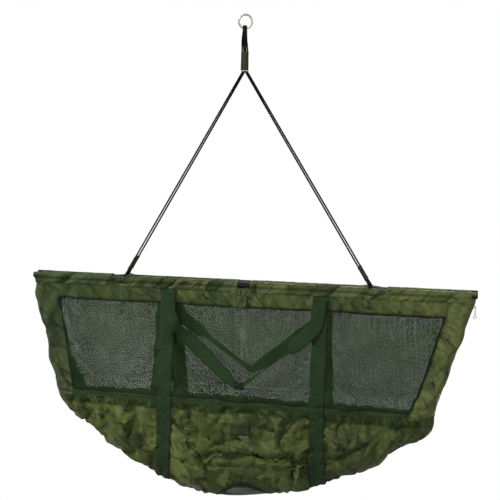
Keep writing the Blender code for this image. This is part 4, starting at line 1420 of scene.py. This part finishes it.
for label, face in FACES.items():
    def lay(a, b):
        spot = wall_place(a, b, face)
        return cloth_point(face, *spot), spot

    def keep(a, b):
        return not_window(a, b, face)

    sheet = lay_cloth(f"wall_cloth_{label}", 2 * COLUMNS, ROWS, lay, keep, label == "front")
    ends = [f"end_panel_{label}_{side}" for side in SIDES]
    nodes = (f"wall_panel_{label}", *ends)
    put_on(sheet, BAND_NYLON, "nylon", WALL_BODY[label], *nodes, thick=SHEET_THICK)
    flat = (2 * end_reach(CLOTH_TOP), HEM_BOTTOM - CLOTH_TOP)
    declare_sheet(sheet, flat, "hung")

# %% [markdown]
# ## Nets
# The net is knitted in diamonds about 7 mm wide. A grid stands on its corner, so that its squares
# are diamonds. Inset turns every face into a rim of yarn, and the middles are deleted. A real net can
# be seen through, also from the side, which a picture of a net can't do. The back net is finer and
# cut square to its yarn, so that the two nets don't make broad bands of light where they cross. It
# is split at the seam, where the wall ends and the bowl begins.

# %% Diamond net
NET_PITCH = 0.0068
NET_RISE = 0.0062
SQUARE_MESH = 0.0027
NET_BOTTOM = {"front": 0.334, "back": 0.346}
NET_LAP = 0.004
NET_OUT = 0.0012
NET_SHAKE = 0.0005
NET_TUCK = 0.002
SEAM_ROOM = 0.005
NET_END = 0.545
NET_JOIN = 0.209
SPANS = {"left": (-NET_END, -NET_JOIN), "middle": (-NET_JOIN, NET_JOIN)}
SPANS["right"] = (NET_JOIN, NET_END)
YARN = {"front": 0.00094, "back": 0.00092}


def diamond_net(name, low, high, place, inside, yarn, on_corner=True):
    """Diamonds over a flat region, laid by place(s, drop), with rims of yarn."""
    size = [top - bottom for bottom, top in zip(low, high)]
    cells = math.ceil(size[0] / NET_PITCH + size[1] / NET_RISE)
    shake = random.Random(len(name))

    def flat(a, b):
        if not on_corner:
            return mix(low[0], high[0], a), mix(low[1], high[1], b)
        across = (a - b) * cells / 2
        down = (a + b - 1) * cells / 2
        middle = ((low[0] + high[0]) / 2, (low[1] + high[1]) / 2)
        return middle[0] + across * NET_PITCH, middle[1] + down * NET_RISE

    def lay(a, b):
        s, drop = flat(a, b)
        near = low[0] - NET_PITCH < s < high[0] + NET_PITCH
        if not (near and low[1] - NET_RISE < drop < high[1] + NET_RISE):
            return (0.0, 0.0, 0.0), (s, drop)
        aside = shake.uniform(-NET_SHAKE, NET_SHAKE)
        down = shake.uniform(-NET_SHAKE, NET_SHAKE)
        return place(s + aside, drop + down, 0.0), (s, drop)

    def keep(a, b):
        s, drop = flat(a, b)
        return low[0] < s < high[0] and low[1] < drop < high[1] and inside(s, drop)

    columns, rows = (cells if on_corner else round(x / SQUARE_MESH) for x in size)
    net = lay_cloth(name, columns, rows, lay, keep)
    open_for_edit(net)
    bpy.ops.mesh.select_mode(type="FACE")
    bpy.ops.mesh.inset(thickness=yarn, use_individual=True)
    bpy.ops.mesh.delete(type="FACE")
    bpy.ops.object.mode_set(mode="OBJECT")
    net.data.shade_smooth()
    return net


# %% Nets in the windows
for label, face in FACES.items():
    def net_place(s, drop, out):
        return bag_point(face, s, drop, NET_OUT + out)

    def inside(s, drop):
        edge = window_edge(drop, face) if drop < SEAM_DROP + SEAM_ROOM else LOW_WINDOW_EDGE
        return abs(s) < edge + NET_TUCK

    front = label == "front"
    top, bottom = WINDOW_TOP - NET_LAP, NET_BOTTOM[label]
    bands = [("", top, bottom if front else SEAM_DROP)]
    if not front:
        bands.append(("_low", SEAM_DROP, bottom))
    for part, (start, end) in SPANS.items():
        for words, upper, lower in bands:
            low, high = (start, upper), (end, lower)
            name = f"net_{label}_{part}{words}"
            net = diamond_net(name, low, high, net_place, inside, YARN[label], front)
            body = LOW_BODY[label] if words else WALL_BODY[label]
            nodes = () if words else (f"window_net_{label}_{part}",)
            # The back net wears the lighter copy of the net, which is painted light.
            put_on(net, NET if front else BACK_NET_PAINTED_LIGHTER, "net", body, *nodes)
            flat = (end - start, lower - upper)
            declare_sheet(net, flat, "stretched", layers=1)

# %% [markdown]
# ## Seams
# Dark binding edges the windows, and a dark strip backs the net behind each strap. A binding is a
# narrow ribbon laid along a line of the wall, a little proud of the cloth. Where the cloth overlaps
# in the middle of the band, it is gathered.

# %% Ribbons along the wall


def ribbon(name, line, width, lay, out, columns=4, crown=0.0003):
    """A narrow sheet along (s, drop) points, laid by a surface function."""
    spots = [Vector(spot) for spot in line]
    last = len(spots) - 1
    runs = [0.0]
    for before, after in zip(spots, spots[1:]):
        runs.append(runs[-1] + (after - before).length)

    def place(a, b):
        k = round(b * last)
        way = (spots[min(k + 1, last)] - spots[max(k - 1, 0)]).normalized()
        share = 2 * a - 1
        aside = width / 2 * share
        s, drop = spots[k] + Vector((-way.y, way.x)) * aside
        return lay(s, drop, out + crown * (1 - share * share)), (aside, runs[k])

    return lay_cloth(name, columns, last, place)


def joined(name, pieces):
    """One object from several."""
    bpy.ops.object.select_all(action="DESELECT")
    for piece in pieces:
        piece.select_set(True)
    bpy.context.view_layer.objects.active = pieces[0]
    bpy.ops.object.join()
    pieces[0].name = name
    pieces[0].data.name = name
    return pieces[0]


def straight(start, end, step=0.005):
    """Points along a straight line on the flat cloth."""
    reach = math.hypot(end[0] - start[0], end[1] - start[1])
    count = max(2, round(reach / step))
    return [tuple(mix(a, b, k / count) for a, b in zip(start, end)) for k in range(count + 1)]


# %% Bindings, strips and the gathered overlap
# A binding is given as its line and its width. The strips' middles and widths stand beside the
# straps, where the photograph shows dark net.
TOP_BINDING = 0.0026
SIDE_BINDING = 0.0042
LOW_BINDING = 0.0070
CORNER_BINDING = 0.0080
BINDING_OUT = 0.0026
STRIPS = (("left", -0.215, 0.056), ("right", 0.2075, 0.040))
STRIP_OUT = 0.0004
FLAP_WIDTH = 0.040
FLAP_OUT = 0.0014

for label, face in FACES.items():
    def lay(s, drop, out):
        return bag_point(face, s, drop, out)

    low_edge = LOW_WINDOW_BOTTOM[label]
    edge_top = window_edge(WINDOW_TOP, face)
    edge_low = min(window_edge(low_edge, face), LOW_WINDOW_EDGE)
    lines = [(straight((-edge_top, WINDOW_TOP), (edge_top, WINDOW_TOP)), TOP_BINDING)]
    low_lines = [(straight((-edge_low, low_edge), (edge_low, low_edge)), LOW_BINDING)]
    seam_share = min((SEAM_DROP - WINDOW_TOP) / (low_edge - WINDOW_TOP), 1.0)
    for sign in SIDES.values():
        top = (sign * edge_top, WINDOW_TOP)
        low = (sign * edge_low, low_edge)
        at_seam = tuple(mix(a, b, seam_share) for a, b in zip(top, low))
        lines.append((straight(top, at_seam), SIDE_BINDING))
        if label == "back":
            low_lines.append((straight(at_seam, low), SIDE_BINDING))
            corner = (sign * end_reach(SEAM_DROP), SEAM_DROP)
            along_seam = straight((sign * edge_low, SEAM_DROP), corner)
            lines.append((along_seam, CORNER_BINDING))
    for words, some, bodies in (("", lines, WALL_BODY), ("_low", low_lines, LOW_BODY)):
        name = f"window_binding{words}_{label}"
        bindings = [ribbon(f"{name}_{k}", *some[k], lay, BINDING_OUT) for k in range(len(some))]
        binding = joined(name, bindings)
        put_on(binding, SEAM_CLOTH, "nylon", bodies[label], thick=SHEET_THICK)
    strips = []
    for side, middle, width in STRIPS:
        line = straight((middle, WINDOW_TOP - 0.002), (middle, HEM_BOTTOM - 0.002))
        name = f"strip_{label}_{side}"
        strips.append(ribbon(name, line, width, lay, STRIP_OUT, columns=10, crown=0.0))
    strip = joined(f"net_seam_strips_{label}", strips)
    put_on(strip, SEAM_NET, "nylon", WALL_BODY[label])

    def lay_gathered(s, drop, out):
        gather = 0.0042 * crest(s * 330 + 30 * drop + 2 * rough(s * 60, drop * 60, face))
        return lay(s, drop, out + gather * bump(s, -0.012, 0.024))

    line = straight((-0.014, CLOTH_TOP + 0.002), (-0.009, WINDOW_TOP + 0.002), 0.002)
    flap = ribbon(f"gathered_overlap_{label}", line, FLAP_WIDTH, lay_gathered, FLAP_OUT, columns=26)
    put_on(flap, BAND_NYLON, "nylon", WALL_BODY[label], thick=SHEET_THICK)
print("bindings made")

# %% [markdown]
# ## Pole pockets
# A pocket is the same nylon folded over the pole and sewn below it. Where a cord's eye grips the
# pole, the pocket is cut away. The fold is a grid whose short side runs up the front of the pole,
# over it and down behind.

# %% Pockets
POCKET_RADIUS = 0.0077
POCKET_TAIL = 0.0202
TAIL_TOP = 0.0092
POCKET_SPAN = (0.0165, 0.5847)
POCKET_CUT = 0.075
POCKET_THICK = 0.0007
POCKET_COLUMNS = 144
NOTCH = (0.328, 0.377)
NOTCH_TURN = (math.radians(112), math.radians(248))
POCKET_ROWS = 40
TAIL_ROWS = 8
ARC_START = math.radians(22)


def pocket_section(share):
    """Row of a pocket: its angle round the pole from below, or None on the sewn tails."""
    row = share * POCKET_ROWS
    if row <= TAIL_ROWS:
        return mix(POCKET_TAIL, TAIL_TOP, row / TAIL_ROWS), None, 1
    if row >= POCKET_ROWS - TAIL_ROWS:
        return mix(POCKET_TAIL, TAIL_TOP, (POCKET_ROWS - row) / TAIL_ROWS), None, -1
    turned = (row - TAIL_ROWS) / (POCKET_ROWS - 2 * TAIL_ROWS)
    return None, mix(ARC_START, TURN - ARC_START, turned), 0


def keep_pocket(a, b):
    """All of the pocket but its notch."""
    angle = pocket_section(b)[1]
    if angle is None or not NOTCH[0] < mix(*POCKET_SPAN, a) < NOTCH[1]:
        return True
    return not NOTCH_TURN[0] < angle < NOTCH_TURN[1]


for label, face, side, sign in QUARTERS:
    def pocket_place(x, b):
        down, angle, layer = pocket_section(b)
        if angle is None:
            wrinkle = layer * 0.0012
            if down < CLOTH_TOP + 0.0002:
                return on_wall(face, sign * x, TAIL_TOP, wrinkle)
            return cloth_point(face, sign * x, down, wrinkle)
        loose = 0.0007 * math.sin(angle / 2) * rough(x * 60, angle, face + sign)
        radius = POCKET_RADIUS + loose + 0.0040 * bump(x, EYE_X - 0.002, 0.030)
        return on_wall(face, sign * x, radius * math.cos(angle), radius * math.sin(angle))

    def lay(a, b):
        x = mix(*POCKET_SPAN, a)
        return pocket_place(x, b), (sign * x, b * POCKET_CUT)

    pocket = lay_cloth(f"pocket_{label}_{side}", POCKET_COLUMNS, POCKET_ROWS, lay, keep_pocket)
    node = f"pole_pocket_{label}_{side}"
    put_on(pocket, BAND_NYLON, "nylon", f"{label}_wall", node, thick=POCKET_THICK)
    flat = (POCKET_SPAN[1] - POCKET_SPAN[0], POCKET_CUT)
    declare_sheet(pocket, flat, "folded")

# %% [markdown]
# ## The closed lower part
# One grid runs from the front seam under the bag to the back seam. Holes are left for the net
# drains and for the back windows, which reach below the seam. The folds come from the tents and
# from the settled cloth.

# %% Lower bag


def lay_bowl(a, b):
    """Its UV is metres along the sling, and metres of cloth away from the keel."""
    x, turn = bowl_x(a), math.pi * b
    upright = keel_drop(x) * (1 - math.sin(turn))
    across = 0.7 * bowl_half(x) * abs(math.cos(turn)) ** FULLNESS
    return BOWL.spot(a, b), (x, math.copysign(upright + across, turn - math.pi / 2))


def outside_openings(a, b):
    """Leaves out the drains and what the back windows take of the lower part."""
    x, turn = bowl_x(a), math.pi * b
    down = keel_drop(x) * (math.pi - turn)
    if down < LOW_WINDOW_BOTTOM["back"] - HEM_BOTTOM and abs(x) < LOW_WINDOW_EDGE:
        return STRAP_STRIP[0] < abs(x) < STRAP_STRIP[1]
    return from_drains(x, turn) >= 1.0


lower_bag = lay_cloth("lower_bag", BOWL_COLUMNS, BOWL_ROWS, lay_bowl, outside_openings, True)
put_on(lower_bag, BOWL_NYLON, "nylon", FRONT_BEND, "bag_bowl", thick=SHEET_THICK)
LOWER_CUT = (2 * ZIP_BOTTOM_X, 2.3 * BOWL_DEPTH)
declare_sheet(lower_bag, LOWER_CUT, "hung")

# %% Drains of net


def under_point(x, y, out):
    """A point on the bowl over a spot of the ground plan."""
    half = max(bowl_half(x), 0.0006)
    share = min(abs(y) / half, 1.0)
    turn = math.acos(max(share, 0.0) ** (1 / FULLNESS))
    if y > 0:
        turn = math.pi - turn
    return low_point(x, turn, out)


DRAIN_YARN = 0.0015
DRAIN_LAP = 1.08
DRAIN_MARGIN = 1.1
HEM_WIDTH = 0.0045
HEM_OUT = 0.0008
HEM_STEPS = 72
drains = {"keel_drain_net": KEEL_DRAIN}
for side in SIDES:
    drains[f"corner_drain_net_{side}"] = CORNER_DRAINS[side]
for node, opening in drains.items():
    middle, half_long, half_wide = opening

    def inside(x, y):
        return drain_distance(opening, x, y) < DRAIN_LAP

    low = (middle - half_long * DRAIN_MARGIN, -half_wide * DRAIN_MARGIN)
    high = (middle + half_long * DRAIN_MARGIN, half_wide * DRAIN_MARGIN)
    drain = diamond_net(f"{node}_fine", low, high, under_point, inside, DRAIN_YARN)
    put_on(drain, NET, "net", "bowl", node)
    flat = (2 * DRAIN_MARGIN * half_long, high[1] - low[1])
    declare_sheet(drain, flat, "hung", layers=1)
    turns = [TURN * k / HEM_STEPS for k in range(HEM_STEPS + 1)]
    line = [(middle + half_long * math.cos(t), half_wide * math.sin(t)) for t in turns]
    hem = ribbon(f"{node}_hem", line, HEM_WIDTH, under_point, HEM_OUT)
    put_on(hem, SEAM_CLOTH, "nylon", "bowl", thick=SHEET_THICK)
print("drains:", len(drains))

# %% [markdown]
# ## Straps
# Webbing carries the load from the poles, down the front, under the bag and up the back. The front
# strap and the part under the bag are one piece that bends at the seam. The left one swings out
# under the bag.

# %% Straps
STRAP_TOP = 0.0215
STRAP_THICK = 0.0016
STRAP_OUT = 0.0022
STRAP_STEP = 0.004
STRAP_COLUMNS = 12
WALL_RUN = SEAM_DROP - STRAP_TOP
BOWL_RUN = 0.60
LEFT_SWING = 0.026
STRAP_RUN = WALL_RUN + BOWL_RUN

for side, sign in SIDES.items():
    def lay_front(a, b):
        run = b * STRAP_RUN
        share = 2 * a - 1
        x = sign * STRAP_X + STRAP_WIDTH / 2 * share
        slack = bump(run, 0.30, 0.09) if side == "right" else bump(run, 0.17, 0.06)
        ripple = 0.0012 * slack * math.sin(run * 420 + 2.0 * share)
        out = STRAP_OUT + 0.0003 * (1 - share**4) + ripple
        spot = (STRAP_WIDTH * (a - 0.5), run)
        if run <= WALL_RUN:
            return cloth_point(-1, x, STRAP_TOP + run, out), spot
        turn = (run - WALL_RUN) / BOWL_RUN * math.pi
        x += min(sign, 0) * LEFT_SWING * math.sin(turn) ** 2
        return low_point(x, turn, out), spot

    rows = round(STRAP_RUN / STRAP_STEP)
    strap = lay_cloth(f"strap_front_{side}", STRAP_COLUMNS, rows, lay_front, flip=True)
    nodes = (f"strap_upper_front_{side}", f"strap_under_{side}")
    put_on(strap, WEBBING, "webbing", FRONT_BEND, *nodes, thick=STRAP_THICK)

    def lay_back(a, b):
        aside = STRAP_WIDTH * (a - 0.5)
        place = cloth_point(1, sign * STRAP_X + aside, mix(STRAP_TOP, SEAM_DROP, b), STRAP_OUT)
        return place, (aside, b * SEAM_DROP)

    rows = round(WALL_RUN / STRAP_STEP)
    strap = lay_cloth(f"strap_back_{side}", STRAP_COLUMNS, rows, lay_back)
    node = f"strap_upper_back_{side}"
    put_on(strap, WEBBING, "webbing", "back_wall", node, thick=STRAP_THICK)
print("straps made")

# %% [markdown]
# ## Carry handles
# A handle is the same webbing, sewn on at both straps and bound in the middle, so it hangs in a V.
# Webbing twists as it turns: its width direction is turned out of the wall's plane along the way.

# %% Line of the handles
HINGE_DROP = 0.094
HINGE_ABOVE = 0.020
HINGE_BELOW = 0.004
HANDLE_LENGTH = 0.70
HANDLE_THICK = 0.0015
HANDLE_OUT = 0.0062
FRONT_LINE = [
    # metres right of the middle, drop, width, twist in degrees
    (-0.203, 0.034, 0.036, 0),
    (-0.203, 0.060, 0.036, 0),
    (-0.195, 0.090, 0.034, 5),
    (-0.172, 0.118, 0.034, 66),
    (-0.150, 0.140, 0.032, 30),
    (-0.110, 0.175, 0.034, 5),
    (-0.060, 0.218, 0.034, 0),
    (-0.020, 0.250, 0.024, 10),
    (0.000, 0.262, 0.014, 30),
    (0.020, 0.250, 0.014, 60),
    (0.070, 0.212, 0.016, 80),
    (0.110, 0.180, 0.018, 80),
    (0.126, 0.167, 0.020, 72),
    (0.142, 0.152, 0.035, 15),
    (0.185, 0.110, 0.036, 0),
    (0.200, 0.080, 0.036, 0),
    (0.203, 0.034, 0.036, 0),
]
BACK_LINE = [(-x, drop, width, twist) for x, drop, width, twist in FRONT_LINE]


def smooth_row(rows, t):
    """A smooth curve through rows of numbers; t runs from 0 to their count minus 1."""
    k = min(int(t), len(rows) - 2)
    w = curve_shares(t - k)
    around = [rows[min(max(k + d, 0), len(rows) - 1)] for d in (-1, 0, 1, 2)]
    result = []
    for p0, p1, p2, p3 in zip(*around):
        m1, m2 = (p2 - p0) / 2, (p3 - p1) / 2
        result.append(w[0] * p1 + w[1] * m1 + w[2] * p2 + w[3] * m2)
    return result


print("handle points:", len(FRONT_LINE))

# %% Handles
for label, face in FACES.items():
    rows = FRONT_LINE if label == "front" else BACK_LINE

    def lay(a, b):
        t = b * (len(rows) - 1)
        x, drop, width, twist = smooth_row(rows, t)
        nx, nd, _, _ = smooth_row(rows, min(t + 0.05, len(rows) - 1))
        px, pd, _, _ = smooth_row(rows, max(t - 0.05, 0))
        way = Vector((nx - px, nd - pd)).normalized()
        aside = (a - 0.5) * width
        turn = math.radians(twist)
        flat = aside * math.cos(turn)
        s = x - way.y * flat
        out = HANDLE_OUT + abs(math.sin(turn)) * width / 2 + aside * math.sin(turn)
        hang = 0.004 * bump(x, 0.0, 0.15)
        plain = on_wall(face, s, max(drop + way.x * flat, 0.03), out + hang)
        lift = wall_fold(face, x, drop) if abs(x) > 0.17 else 0.0
        return plain + Vector((0, face * lift, 0)), (STRAP_WIDTH * (a - 0.5), b * HANDLE_LENGTH)

    handle = lay_cloth(f"handle_{label}", 10, 220, lay, flip=face < 0)
    hinge = on_wall(face, 0.0, HINGE_DROP, 0.0038)
    start = hinge + Vector((0, 0, HINGE_ABOVE))
    end = hinge - Vector((0, 0, HINGE_BELOW))
    bend = (f"{label}_wall", f"{label}_handle", start, end)
    # The back handle wears the darker copy of the webbing, which is painted shade.
    finish = WEBBING if label == "front" else BACK_WEBBING_PAINTED_DARKER
    put_on(handle, finish, "webbing", bend, f"carry_handle_{label}", thick=HANDLE_THICK)
print("handles made")

# %% Bound grips
GRIP_HALF = 0.012
GRIP_DROP = 0.261

for label, face in FACES.items():
    def lay(a, b):
        turn = TURN * a
        x = mix(-GRIP_HALF, GRIP_HALF, b)
        tall = 0.0095 + 0.0008 * math.sin(b * 60)
        drop = GRIP_DROP + tall * math.cos(turn) - 0.12 * abs(x)
        out = 0.0130 + 0.0058 * math.sin(turn)
        return on_wall(face, x, drop, out), (a * 0.045, b * 2 * GRIP_HALF)

    grip = lay_cloth(f"grip_{label}", 28, 12, lay, flip=face > 0)
    put_on(grip, SEAM_CLOTH, "thread", f"{label}_handle", f"handle_wrap_{label}")
print("grips made")

# %% [markdown]
# ## End zips
# A zip's two tapes run down each end of the bag. The teeth are one small block, copied down both
# edges. The sliders and pulls are the CAD pieces with a nickel finish.

# %% Tapes and teeth
# A tooth is three steps, each given by its distance from the zip's middle and half its height.
TOOTH_PITCH = 0.0022
TOOTH = ((0.0030, 0.0005), (0.0008, 0.0008), (0.0004, 0.0004))
TOOTH_BACK, TOOTH_FRONT = -0.0006, 0.0009
TAPE_WIDE = 0.011
TAPE_NEAR = 0.0016
TAPE_FAR = 0.0126


def zip_point(sign, y, drop, out=0.0):
    """A point on a zip, with the slack of its end."""
    x = sign * zip_x(drop)
    return Vector((x + sway(x, drop) + sign * out, y, POLE_Z - drop))


for label, face, side, sign in QUARTERS:
    def lay(a, b):
        drop = mix(ZIP_TOP_DROP, HEM_BOTTOM, b)
        y = mix(TAPE_NEAR, TAPE_FAR, a)
        ripple = 0.0005 * rough(drop * 70, a * 2, sign) * ramp(a, 0.3, 0.8)
        return zip_point(sign, face * y, drop, ripple), (a * TAPE_WIDE, drop)

    tape = lay_cloth(f"zip_cloth_{label}_{side}", 5, 100, lay, flip=face * sign < 0)
    node = f"zip_tape_{label}_{side}"
    put_on(tape, ZIP_CLOTH, "zip_tape", f"{label}_wall", node, thick=SHEET_THICK)
    verts, faces = [], []
    count = int((HEM_BOTTOM - ZIP_TOP_DROP) / TOOTH_PITCH)
    for k in range(count):
        drop = ZIP_TOP_DROP + (k + 0.5 + 0.25 * face) * TOOTH_PITCH
        base = len(verts)
        for out in (TOOTH_BACK, TOOTH_FRONT):
            for y, half in TOOTH:
                for up in (-half, half):
                    verts.append(zip_point(sign, face * y, drop + up, out))
        for low in (0, 2):
            a, b, c, d = (base + low + n for n in (0, 1, 3, 2))
            faces += [(a, b, c, d), (a + 6, d + 6, c + 6, b + 6)]
            faces += [(a, d, d + 6, a + 6), (b, b + 6, c + 6, c)]
        faces += [(base, base + 6, base + 7, base + 1)]
        faces += [(base + 4, base + 5, base + 11, base + 10)]
    teeth = fresh_mesh(f"teeth_{label}_{side}", verts, faces)
    open_for_edit(teeth)
    bpy.ops.mesh.normals_make_consistent(inside=False)
    bpy.ops.object.mode_set(mode="OBJECT")
    put_on(teeth, RUBBER, "zip_tape", f"{label}_wall")
for side in SIDES:
    for node in (f"zip_slider_{side}", f"zip_pull_{side}"):
        dress(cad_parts[node], ZIP_METAL)
print("teeth on each tape:", count)

# %% [markdown]
# ## Label patch
# A small bare patch is sewn to the front of the lower part.

# %% Label
# Metres right of the middle and metres below the seam.
LABEL_ACROSS = (-0.022, 0.028)
LABEL_DOWN = (0.052, 0.079)
LABEL_OUT = 0.0022
LABEL_THICK = 0.0010


def lay_label(a, b):
    """A place on the label, and its UV in metres."""
    x = mix(*LABEL_ACROSS, a)
    down = mix(*LABEL_DOWN, b)
    return low_point(x, math.asin(down / keel_drop(x)), LABEL_OUT), (a * 0.05, b * 0.027)


patch_finish = webbing_finish(
    "grey_green_patch", (0.014, 0.026, 0.011), (0.026, 0.042, 0.019), 0.0009
)
patch = lay_cloth("bare_patch", 20, 12, lay_label, flip=True)
put_on(patch, patch_finish, "webbing", "bowl", thick=LABEL_THICK)
print("label faces:", len(patch.data.polygons))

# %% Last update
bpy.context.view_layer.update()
